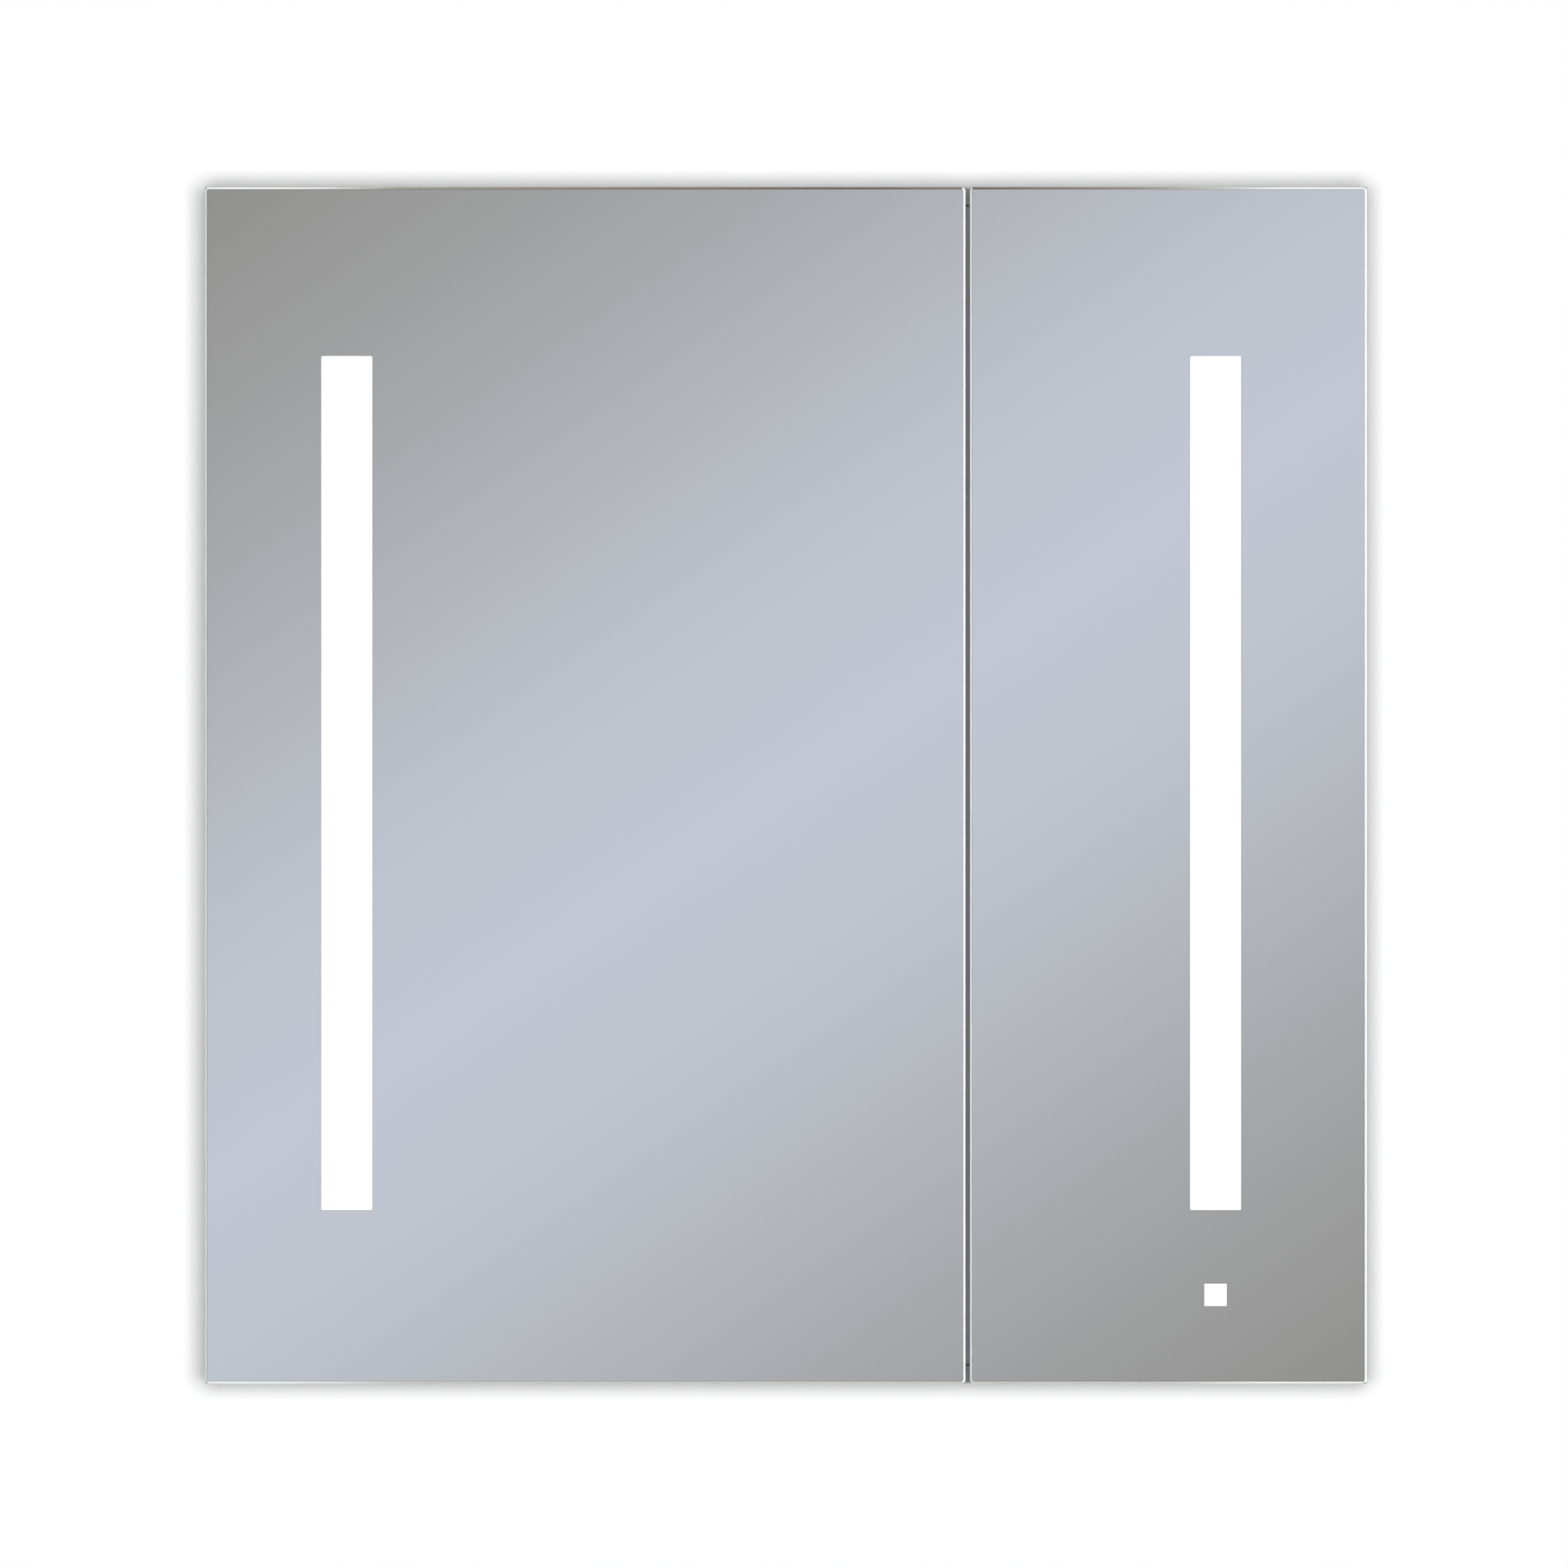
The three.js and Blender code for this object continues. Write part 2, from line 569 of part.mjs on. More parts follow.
// The low-voltage lead from the side of the cabinet to the door's hinge stile. It runs downwards
// between the two, close to the hinge line, so that it only twists as the door opens.
function doorLead(side) {
  const route = [
    [1, -14, 0],
    [4, -14, -1],
    [6.8, -12.5, -9],
    [7.2, -11, -22],
    [7.2, -9.5, -36],
    [7, -7.5, -49],
    [6.2, -3.5, -58],
    [6, 0.9, -LEAD.fall],
  ].map(([u, v, dz]) => new THREE.Vector3(side * (BAY_X - u), -BODY_DEPTH - v, LEAD.z + dz));
  const ring = new THREE.Shape().absarc(0, 0, LEAD.radius, 0, 2 * Math.PI);
  return new THREE.ExtrudeGeometry(ring, {
    steps: 20,
    curveSegments: 8,
    extrudePath: new THREE.CatmullRomCurve3(route),
  });
}

const leftDoor = new THREE.Group();
const rightDoor = new THREE.Group();
const leftEdges = [-DOOR_X, DOOR_SPLIT - DOOR_SPACE / 2];
const rightEdges = [DOOR_SPLIT + DOOR_SPACE / 2, DOOR_X];
const WINDOW_FROM_EDGE = { left: 73.9, right: 79.9 };
const leftWindow = leftEdges[0] + WINDOW_FROM_EDGE.left + WINDOW.width / 2;
const rightWindow = rightEdges[1] - WINDOW_FROM_EDGE.right - WINDOW.width / 2;

door(leftDoor, 'left', -1, ...leftEdges, leftWindow);
door(rightDoor, 'right', 1, ...rightEdges, rightWindow);
touchSensor(rightDoor, rightWindow);

for (const [name, side, group] of [['left', -1, leftDoor], ['right', 1, rightDoor]]) {
  for (const [level, z] of [['upper', HINGE_Z], ['lower', -HINGE_Z]]) {
    add(cabinet, `${name}_${level}_hinge_plate`, hingePlate(side, z), nickel);
    add(cabinet, `${name}_${level}_hinge_arm`, hingeArm(side, z), nickel);
    add(group, `${name}_${level}_hinge_socket`, hingeSocket(side, z), nickel);
    add(group, `${name}_${level}_hinge_pin`, hingePin(side, z), steel);
  }
  add(group, `${name}_strike_plate`, strikePlate(side), steel);
  add(cabinet, `${name}_door_lead`, doorLead(side), darkRubber);
}

const medicineCabinet = new THREE.Group();
medicineCabinet.add(cabinet, leftDoor, rightDoor);

export default medicineCabinet;
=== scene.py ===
# %% [markdown]
# # A wall-hung medicine cabinet with two lit mirror doors
# The real one is a shallow box of satin anodised aluminium with a frameless mirror on each door. A
# column of light shines through a frosted window in each mirror, and a small square window under
# the right-hand one is a touch switch. The solid model gives every part its size and its place. It
# could be rendered as it is, but the glass would have no frosting and the metal no grain, so this
# script keeps its parts, gives them finishes, and replaces or adds the ones that need fine shapes.

# %% Load the frame
import math

import bmesh
import bpy
from mathutils import Matrix, Vector


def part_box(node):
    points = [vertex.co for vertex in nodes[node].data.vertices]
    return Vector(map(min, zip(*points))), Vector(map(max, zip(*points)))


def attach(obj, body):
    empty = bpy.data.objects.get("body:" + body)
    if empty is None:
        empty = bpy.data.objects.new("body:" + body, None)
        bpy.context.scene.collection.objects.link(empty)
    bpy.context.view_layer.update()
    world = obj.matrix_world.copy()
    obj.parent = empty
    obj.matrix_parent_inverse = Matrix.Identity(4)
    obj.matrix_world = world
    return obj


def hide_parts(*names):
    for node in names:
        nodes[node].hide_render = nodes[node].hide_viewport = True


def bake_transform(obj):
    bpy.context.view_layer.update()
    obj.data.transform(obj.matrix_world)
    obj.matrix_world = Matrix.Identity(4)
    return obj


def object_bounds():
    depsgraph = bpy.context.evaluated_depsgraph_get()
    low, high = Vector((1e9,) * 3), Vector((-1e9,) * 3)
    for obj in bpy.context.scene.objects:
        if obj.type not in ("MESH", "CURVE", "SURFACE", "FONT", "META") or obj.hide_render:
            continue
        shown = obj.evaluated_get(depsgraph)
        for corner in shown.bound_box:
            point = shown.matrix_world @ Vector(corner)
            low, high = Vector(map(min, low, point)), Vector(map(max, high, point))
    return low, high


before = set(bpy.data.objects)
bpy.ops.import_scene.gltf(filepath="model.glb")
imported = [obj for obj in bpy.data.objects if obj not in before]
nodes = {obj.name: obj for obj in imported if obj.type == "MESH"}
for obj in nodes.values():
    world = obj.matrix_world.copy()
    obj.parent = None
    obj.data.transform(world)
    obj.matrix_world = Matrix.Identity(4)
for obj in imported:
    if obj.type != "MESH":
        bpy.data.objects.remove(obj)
cad_low, cad_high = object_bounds()
MM = 0.001
WIDTH = cad_high.x - cad_low.x
HEIGHT = cad_high.z - cad_low.z
print(f"{len(nodes)} nodes, {WIDTH / MM:.0f} x {HEIGHT / MM:.0f} mm")

# %% [markdown]
# ## The camera
# Catalogue pictures of flat things are taken square on from far away, so that no side shows. A
# short lens could stand closer, but it would let the doors hide the box's edges behind them. The
# camera stands twenty metres off with a very long lens, level with the cabinet's middle.

# %% Camera
PICTURE_WIDTH = 0.9975  # metres of the doors' plane from one side of the picture to the other
CAMERA_DISTANCE = 20.0
CAMERA_X = -1.2 * MM  # the cabinet hangs a little off the picture's middle
CAMERA_Z = 0.9 * MM
door_face = cad_low.y

camera_data = bpy.data.cameras.new("camera")
camera_data.sensor_width = 36
camera_data.lens = camera_data.sensor_width * (CAMERA_DISTANCE + door_face) / PICTURE_WIDTH
camera_data.clip_end = 3 * CAMERA_DISTANCE
camera = bpy.data.objects.new("camera", camera_data)
camera.location = (CAMERA_X, -CAMERA_DISTANCE, CAMERA_Z)
camera.rotation_euler = (math.pi / 2, 0, 0)
bpy.context.scene.collection.objects.link(camera)
bpy.context.scene.camera = camera
bpy.context.scene.view_settings.view_transform = "Standard"
print(f"lens {camera_data.lens:.0f} mm")

# %% [markdown]
# ## Small helpers
# A shader graph is a handful of nodes with a few settings each. Written out in full, every node
# takes four or five lines, so one function adds a node, sets what is plain and links what isn't.
# Colours are picked as on a screen, which is not how light adds up, so one function turns them to
# linear light.

# %% Colours and nodes
def to_linear(hex_colour):
    """#rrggbb, as seen on a screen, to linear red, green, blue and an alpha of 1."""
    channels = [int(hex_colour[i : i + 2], 16) / 255 for i in (1, 3, 5)]
    return [c / 12.92 if c <= 0.04045 else ((c + 0.055) / 1.055) ** 2.4 for c in channels] + [1]


def add_node(tree, kind, inputs=None, **settings):
    """Adds a node. An input given as a socket is linked, and any other is set."""
    node = tree.nodes.new(kind)
    for name, value in settings.items():
        setattr(node, name, value)
    for name, value in (inputs or {}).items():
        if isinstance(value, bpy.types.NodeSocket):
            tree.links.new(value, node.inputs[name])
        else:
            node.inputs[name].default_value = value
    return node


def new_material(name, **sockets):
    """A material and its Principled shader, with the given sockets set."""
    material = bpy.data.materials.new(name)
    material.use_nodes = True
    shader = material.node_tree.nodes["Principled BSDF"]
    for socket, value in sockets.items():
        shader.inputs[socket.replace("_", " ").title().replace("Ior", "IOR")].default_value = value
    return material, material.node_tree, shader


def own_place(tree):
    """The place of a point in its object's own frame, in metres."""
    return add_node(tree, "ShaderNodeTexCoord").outputs["Object"]


def blank_material(name):
    """A material without nodes, and its tree."""
    material = bpy.data.materials.new(name)
    material.use_nodes = True
    material.node_tree.nodes.clear()
    return material, material.node_tree


def after_matt(tree):
    """1 for light that has met a matt surface on its way, and 0 for any other."""
    ray = add_node(tree, "ShaderNodeLightPath")
    meetings = {0: ray.outputs["Diffuse Depth"], 1: 0.5}
    return add_node(tree, "ShaderNodeMath", meetings, operation="GREATER_THAN").outputs[0]


# %% [markdown]
# ## The wall, the floor and the light
# The cabinet hangs on a white wall under one large soft lamp, fifteen metres in front of it. A near
# lamp would throw the shadow outwards on every side. A far one keeps it tight, and the lamp's size
# against its distance gives the narrow fade that runs right round the cabinet. The lamp is a little
# lower than it is wide, so the fade is narrower above and below. It stands in the camera's line of
# sight, so the camera doesn't see it. The wall is open behind the cabinet. Neither the wall nor the
# floor can be seen from its far side, so the back and the underside can be looked at too. The box's
# bright sides would throw the wall's own light back at it and fill the shadow, so light that has
# met a matt surface on its way finds the wall dark.

# %% Wall and floor
def flat_piece(name, corners, faces, material):
    """A piece of the stage with flat faces."""
    mesh = bpy.data.meshes.new(name)
    mesh.from_pydata(corners, [], faces)
    mesh.materials.append(material)
    piece = bpy.data.objects.new(name, mesh)
    bpy.context.scene.collection.objects.link(piece)
    return piece


WALL_HALF = 6.0
WALL_TOP = 4.0
WALL_Y = 0.5 * MM
FLOOR_Z = -1.5
FLOOR_HALF = 50.0
OPENING_INSET = 1 * MM  # how far the wall reaches in behind the cabinet's edges
WALL_COLOUR = to_linear("#f4f4f4")
WALL_AFTER_MATT = to_linear("#4a4a4a")  # the wall to light that has met a matt surface
FLOOR_COLOUR = to_linear("#efeeec")
FLOOR_GLOW = 0.9  # so far from the lamp it would look grey


def one_sided_paint(name, colour, roughness):
    """A paint that can't be seen from behind, as (material, shader)."""
    material, tree, shader = new_material(name, base_color=colour, roughness=roughness)
    geometry = add_node(tree, "ShaderNodeNewGeometry")
    unseen = add_node(tree, "ShaderNodeBsdfTransparent")
    sides = {0: geometry.outputs["Backfacing"], 1: shader.outputs[0], 2: unseen.outputs[0]}
    mix = add_node(tree, "ShaderNodeMixShader", sides)
    tree.links.new(mix.outputs[0], tree.nodes["Material Output"].inputs["Surface"])
    return material, shader


wall_paint, shader = one_sided_paint("white_wall_paint", WALL_COLOUR, roughness=0.9)
tree = wall_paint.node_tree
white_or_dark = {"Factor": after_matt(tree), 6: WALL_COLOUR, 7: WALL_AFTER_MATT}
paint_colour = add_node(tree, "ShaderNodeMix", white_or_dark, data_type="RGBA")
tree.links.new(paint_colour.outputs[2], shader.inputs["Base Color"])


def rectangle(x0, z0, x1, z1, y):
    return [(x0, y, z0), (x1, y, z0), (x1, y, z1), (x0, y, z1)]


hole_x = WIDTH / 2 - OPENING_INSET
hole_z = HEIGHT / 2 - OPENING_INSET
outer = rectangle(-WALL_HALF, FLOOR_Z, WALL_HALF, WALL_TOP, WALL_Y)
inner = rectangle(-hole_x, -hole_z, hole_x, hole_z, WALL_Y)
ring = [(i, (i + 1) % 4, 4 + (i + 1) % 4, 4 + i) for i in range(4)]
wall = flat_piece("wall", outer + inner, ring, wall_paint)

floor_paint, shader = one_sided_paint("pale_floor_paint", FLOOR_COLOUR, roughness=0.8)
shader.inputs["Emission Color"].default_value = FLOOR_COLOUR
shader.inputs["Emission Strength"].default_value = FLOOR_GLOW
square = [(-1, -1), (1, -1), (1, 1), (-1, 1)]
floor_corners = [(x * FLOOR_HALF, y * FLOOR_HALF, FLOOR_Z) for x, y in square]
floor = flat_piece("floor", floor_corners, [(0, 1, 2, 3)], floor_paint)
floor.visible_glossy = False
floor.visible_diffuse = False
print("wall faces", wall.data.polygons[0].normal)

# %% Lamp
LAMP_DISTANCE = 15.0
FADE = 14 * MM  # half the width of the shadow's fade, for an edge as far from the wall as the doors
FADE_Z = 12.6 * MM  # the same above and below
LAMP_X = 0.15  # the shadow is a little wider on the left
LAMP_Z = -0.15  # and a little wider above than below
WALL_BRIGHTNESS = 1.01  # of a white wall under the lamp alone

lamp_data = bpy.data.lights.new("soft_lamp", "AREA")
lamp_data.shape = "ELLIPSE"
lamp_data.size = 2 * FADE * (LAMP_DISTANCE + door_face) / -door_face
lamp_data.size_y = lamp_data.size * FADE_Z / FADE
lamp_data.energy = WALL_BRIGHTNESS * (math.pi * LAMP_DISTANCE) ** 2 / WALL_COLOUR[0]
lamp = bpy.data.objects.new("soft_lamp", lamp_data)
lamp.location = (LAMP_X, -LAMP_DISTANCE, LAMP_Z)
lamp.rotation_euler = (math.pi / 2, 0, 0)
lamp.visible_camera = False
lamp.visible_glossy = False
lamp.visible_transmission = False
bpy.context.scene.collection.objects.link(lamp)
print(f"lamp {lamp_data.energy:.0f} W, {lamp_data.size:.2f} m across")

# %% [markdown]
# ## What the mirrors show
# A mirror has no colour of its own: it shows what stands in front of it. In a studio that is a
# large graded card, pale along a diagonal and darker on both sides of it. The gradient could be
# painted on the doors, but then it would stay put when a door swings. So the card is a real thing
# that only reflections see, three metres in front, and its ridges repeat beyond the first.

# %% Graded card
CARD_DISTANCE = 3.0
CARD_HALF = (9.0, 6.0)
GRADES = ["#c3c5d2", "#bec3cd", "#b5b8be", "#a8aaae", "#9d9d9d", "#929290", "#8b8b89"]
GRADE_STEP = 0.102  # metres on the mirror from one grade to the next
RIDGE_SLOPE = math.radians(34.6)  # the pale ridge rises to the right
MIRROR_SHARE = 0.93  # how much light the silver and its glass give back

spread = 1 + CARD_DISTANCE / CAMERA_DISTANCE  # the card's size against its reflection's
half_ridge = GRADE_STEP * (len(GRADES) - 1)
card_material, tree = blank_material("graded_card")
across = (math.sin(RIDGE_SLOPE) / spread, 0, -math.cos(RIDGE_SLOPE) / spread)
at_point = {0: own_place(tree), 1: across}
distance = add_node(tree, "ShaderNodeVectorMath", at_point, operation="DOT_PRODUCT")
from_ridge = {0: distance.outputs["Value"], 1: half_ridge}
folded = add_node(tree, "ShaderNodeMath", from_ridge, operation="PINGPONG")
share = add_node(tree, "ShaderNodeMath", {0: folded.outputs[0], 1: half_ridge}, operation="DIVIDE")


def ramp(tree, factor, colours):
    """A colour ramp whose colours stand at even steps, or at the places of a dictionary."""
    if not isinstance(colours, dict):
        colours = {i / (len(colours) - 1): colour for i, colour in enumerate(colours)}
    node = add_node(tree, "ShaderNodeValToRGB", {0: factor})
    stops = node.color_ramp.elements
    first, *between, last = colours.items()
    for stop, (at, colour) in zip(stops, (first, last)):
        stop.position = at
        stop.color = to_linear(colour)
    for at, colour in between:
        stops.new(at).color = to_linear(colour)
    return node.outputs[0]


def glowing(tree, colour, strength=1.0):
    glow = add_node(tree, "ShaderNodeEmission", {"Color": colour, "Strength": strength})
    add_node(tree, "ShaderNodeOutputMaterial", {"Surface": glow.outputs[0]})


def only_reflected(piece):
    piece.visible_camera = False
    piece.visible_diffuse = False
    piece.visible_shadow = False


glowing(tree, ramp(tree, share.outputs[0], GRADES), 1 / MIRROR_SHARE)
half_x, half_z = CARD_HALF
card_corners = rectangle(-half_x, -half_z, half_x, half_z, -CARD_DISTANCE)
card = flat_piece("graded_card", card_corners, [(0, 3, 2, 1)], card_material)
only_reflected(card)
print(f"card {2 * half_x:.0f} x {2 * half_z:.0f} m, {len(GRADES)} grades to each side of the ridge")

# %% [markdown]
# ## What the ground edges show
# The mirrors' edges are cut back at 45 degrees, so the top one shows what is straight above it and
# the bottom one what is straight below. There a narrow strip hangs, white at its ends and dull
# between them, and that is why the bright outline fades along the top. A strip as narrow as a hand
# is seen by nothing but those two edges.

# %% Edge strips
STRIP_AWAY = 0.6  # above the top edge and below the bottom one
STRIP_HALF = 0.06
STRIP_PAST = 0.15  # at each end, because the edges' ends see a little outwards
TOP_COLOURS = {0.0: "#fefefe", 0.05: "#f4f2ec", 0.13: "#a79d8f", 0.36: "#8b7d6a", 0.6: "#6b5f4d"}
TOP_COLOURS |= {0.8: "#958c78", 0.9: "#cfcfc8", 0.96: "#fdfdfd"}
BOTTOM_COLOURS = {0.0: "#fefefe", 0.05: "#f2f2ee", 0.13: "#d2d0ca"}
BOTTOM_COLOURS |= {0.84: "#d6d4cf", 0.94: "#fdfdfd"}


def edge_strip(name, z, colours):
    """A glowing strip along the cabinet's width; colours stand at shares of that width."""
    material, tree = blank_material(name)
    parts = add_node(tree, "ShaderNodeSeparateXYZ", {0: own_place(tree)})
    ends = {"Value": parts.outputs["X"], "From Min": cad_low.x, "From Max": cad_high.x}
    along = add_node(tree, "ShaderNodeMapRange", ends)
    glowing(tree, ramp(tree, along.outputs[0], colours))
    left, right = cad_low.x - STRIP_PAST, cad_high.x + STRIP_PAST
    near, far = door_face - STRIP_HALF, door_face + STRIP_HALF
    corners = [(left, near, z), (right, near, z), (right, far, z), (left, far, z)]
    strip = flat_piece(name, corners, [(0, 1, 2, 3)], material)
    only_reflected(strip)
    return strip


strips = [
    edge_strip("top_edge_strip", cad_high.z + STRIP_AWAY, TOP_COLOURS),
    edge_strip("bottom_edge_strip", cad_low.z - STRIP_AWAY, BOTTOM_COLOURS),
]
print([strip.name for strip in strips])

# %% [markdown]
# ## The studio around it
# Glossy metal needs a room to reflect, pale above and a little darker below. The same room would
# light the wall too strongly and wash its shadow out. So light that has met a matt surface on its
# way finds a dim room, and only reflections find the pale one.

# %% World
AMBIENT = 0.03
world = bpy.data.worlds.new("studio")
bpy.context.scene.world = world
world.use_nodes = True
tree = world.node_tree
tree.nodes.clear()
direction = add_node(tree, "ShaderNodeTexCoord")
parts = add_node(tree, "ShaderNodeSeparateXYZ", {0: direction.outputs["Generated"]})
from_floor = {"Value": parts.outputs["Z"], "From Min": -1.0, "From Max": 1.0}
height = add_node(tree, "ShaderNodeMapRange", from_floor)
pale = {"Factor": height.outputs[0], 6: to_linear("#d3d2d0"), 7: to_linear("#fbfcff")}
around = add_node(tree, "ShaderNodeMix", pale, data_type="RGBA")
reflected = add_node(tree, "ShaderNodeBackground", {"Color": around.outputs[2]})
ambient = add_node(tree, "ShaderNodeBackground", {"Strength": AMBIENT})
backdrop = add_node(tree, "ShaderNodeBackground")
for background in (ambient, backdrop):
    background.inputs["Color"].default_value = to_linear("#ffffff")
room = {0: after_matt(tree), 1: reflected.outputs[0], 2: ambient.outputs[0]}
lit = add_node(tree, "ShaderNodeMixShader", room)
ray = add_node(tree, "ShaderNodeLightPath")
behind = {0: ray.outputs["Is Camera Ray"], 1: lit.outputs[0], 2: backdrop.outputs[0]}
seen = add_node(tree, "ShaderNodeMixShader", behind)
add_node(tree, "ShaderNodeOutputWorld", {"Surface": seen.outputs[0]})
print(f"ambient {AMBIENT}")

# %% [markdown]
# ## Anodised aluminium
# The box and the door frames are extrusions, and the back is sheet. Pushing metal through a die
# leaves fine lines along its length, and the etch before anodising turns them into a satin. A
# noise texture stretched along the length, in a shallow bump and in the roughness, gives both. The
# real lines are a few hundredths of a millimetre apart, so they are drawn at about a millimetre.

# %% Aluminium
DIE_LINE = 1.2 * MM
LINE_STRETCH = 400.0  # a line's length against its width
LINE_RELIEF = 0.05 * MM


def vary(tree, factor, low, high):
    """A colour between two hex colours."""
    sockets = {"Factor": factor, 6: to_linear(low), 7: to_linear(high)}
    return add_node(tree, "ShaderNodeMix", sockets, data_type="RGBA").outputs[2]


def spread_out(tree, value, low, high):
    """A noise's value, which mostly lies between 0.3 and 0.7, stretched to low and high."""
    sockets = {"Value": value, "From Min": 0.3, "From Max": 0.7, "To Min": low, "To Max": high}
    return add_node(tree, "ShaderNodeMapRange", sockets).outputs[0]


def anodised(name, along):
    """Satin anodised aluminium whose die lines run along the axis 0, 1 or 2."""
    material, tree, shader = new_material(name, metallic=1.0)
    place = own_place(tree)
    scale = [1 / DIE_LINE] * 3
    scale[along] = 1 / (DIE_LINE * LINE_STRETCH)
    stretched = {"Vector": place, "Scale": scale}
    grain = add_node(tree, "ShaderNodeMapping", stretched)
    fine = {"Vector": grain.outputs[0], "Scale": 1.0, "Detail": 3.0}
    lines = add_node(tree, "ShaderNodeTexNoise", fine)
    cloud = add_node(tree, "ShaderNodeTexNoise", {"Vector": place, "Scale": 9.0})
    shallow = {"Height": lines.outputs[0], "Strength": 0.06, "Distance": LINE_RELIEF}
    relief = add_node(tree, "ShaderNodeBump", shallow)
    tree.links.new(vary(tree, cloud.outputs[0], "#c2c4c6", "#d0d1d2"), shader.inputs["Base Color"])
    tree.links.new(spread_out(tree, lines.outputs[0], 0.3, 0.42), shader.inputs["Roughness"])
    tree.links.new(relief.outputs[0], shader.inputs["Normal"])
    return material


ALONG_X, ALONG_Z = 0, 2
level_aluminium = anodised("anodised_extrusion_level", ALONG_X)
upright_aluminium = anodised("anodised_extrusion_upright", ALONG_Z)
print(level_aluminium.name, upright_aluminium.name)

# %% [markdown]
# ## Mirror and glass
# A bathroom mirror is float glass with silver and a coat of grey paint on its back. Seen from the
# front it is a metal with hardly any roughness. The faint haze is what a cloth leaves when it is
# wiped. Its edges are cut back at the corners. The level ones are polished and throw back what is
# over them, and the upright ones are matt. The right-hand upright edges are paler and glow with a
# painted highlight, and between the corners the glass shows green. Where the silver is left out
# and the glass is frosted, light comes through. Wherever the silver ends, round the windows and
# along the edges, it ends in a thin, slightly darker line.

# %% Mirror
WIPE = 60 * MM  # width of a cloth's stroke
HAZE = (0.004, 0.016)  # roughness between the strokes and in them


def silvered(name, colour):
    material, tree, shader = new_material(name, base_color=to_linear(colour), metallic=1.0)
    wide = {"Vector": own_place(tree), "Scale": 1 / WIPE, "Detail": 2.0}
    strokes = add_node(tree, "ShaderNodeTexNoise", wide)
    haze = spread_out(tree, strokes.outputs[0], *HAZE)
    tree.links.new(haze, shader.inputs["Roughness"])
    return material


door_silver = silvered("silvered_float_glass", "#f7f8f8")
thin_silver = silvered("silvered_thin_glass", "#f2f4f3")
silver_border = silvered("silver_edge_line", "#dcdcdd")
print(door_silver.name, thin_silver.name, silver_border.name)

# %% Ground and frosted glass
GRIT = 0.4 * MM
ARRIS_PAINTED_HIGHLIGHT = 0.35  # painted highlight on the right-hand upright arrises
WINDOW_GLOW = 0.82
GLASS = {"ior": 1.52}
GROUND = {"roughness": 0.45, **GLASS}
POLISHED_SILVER = {"roughness": 0.08, "metallic": 1.0}


def grainy(name, grain, low, high, **sockets):
    """A surface whose colour and height vary with a grain of the given size."""
    material, tree, shader = new_material(name, **sockets)
    fine = {"Vector": own_place(tree), "Scale": 1 / grain}
    grit = add_node(tree, "ShaderNodeTexNoise", fine)
    shallow = {"Height": grit.outputs[0], "Strength": 0.1, "Distance": grain / 20}
    relief = add_node(tree, "ShaderNodeBump", shallow)
    tree.links.new(vary(tree, grit.outputs[0], low, high), shader.inputs["Base Color"])
    tree.links.new(relief.outputs[0], shader.inputs["Normal"])
    return material, tree, shader


def light_up(shader, colour, strength):
    shader.inputs["Emission Color"].default_value = to_linear(colour)
    shader.inputs["Emission Strength"].default_value = strength


level_arris, _, _ = grainy("polished_glass_arris", GRIT, "#eef1ef", "#fbfcfb", **POLISHED_SILVER)
dull_arris, _, _ = grainy("ground_glass_arris", GRIT, "#d9dfdc", "#e9eeeb", **GROUND)
# Painted highlight: the right-hand upright arrises are paler and glow.
painted_highlight_arris, _, shader = grainy("ground_glass_arris_painted_highlight", GRIT, "#eef3f0", "#fdfefd", **GROUND)
light_up(shader, "#fdfef8", ARRIS_PAINTED_HIGHLIGHT)
glass_edge, _, _ = grainy(
    "polished_glass_edge", GRIT, "#9fbfb1", "#c3d8ce", roughness=0.12, **GLASS
)
frosted_window, _, shader = grainy(
    "frosted_glass_lit", GRIT, "#86868a", "#949498", roughness=0.5, **GLASS
)
light_up(shader, "#fefdff", WINDOW_GLOW)
mirror_back, _, _ = grainy("mirror_backing_paint", GRIT, "#7d8486", "#8b9193", roughness=0.6)
print(level_arris.name, dull_arris.name, painted_highlight_arris.name, glass_edge.name)
print(frosted_window.name, mirror_back.name)

# %% [markdown]
# ## The door mirrors
# The solid model's mirror is one block of glass. Here it is rebuilt with its windows. Cutting them
# out with a boolean would leave ragged faces, and painting them on with a mask would give them
# soft edges. So the front face is filled between the outlines of the glass and of the windows, and
# every region gets its own finish. All the outlines are rectangles with round corners.

# %% Shapes from outlines
def rounded_outline(low, high, radius, steps=6):
    """Points of a rectangle with round corners from low to high, anticlockwise in x and z."""
    (x0, z0), (x1, z1) = low, high
    left, right = x0 + radius, x1 - radius
    bottom, top = z0 + radius, z1 - radius
    centres = [(right, bottom), (right, top), (left, top), (left, bottom)]
    points = []
    for quarter, (cx, cz) in enumerate(centres):
        for step in range(steps + 1):
            angle = math.pi / 2 * (quarter - 1 + step / steps)
            points.append((cx + radius * math.cos(angle), cz + radius * math.sin(angle)))
    return points


def inset(low, high, by):
    return (low[0] + by, low[1] + by), (high[0] - by, high[1] - by)


def add_loop(bm, points, y):
    """A closed loop of vertices in the plane y."""
    return [bm.verts.new((x, y, z)) for x, z in points]


def bridge(bm, first, second, slot):
    """Quads between two loops of the same length."""
    for i in range(len(first)):
        j = (i + 1) % len(first)
        bm.faces.new((first[i], first[j], second[j], second[i])).material_index = slot


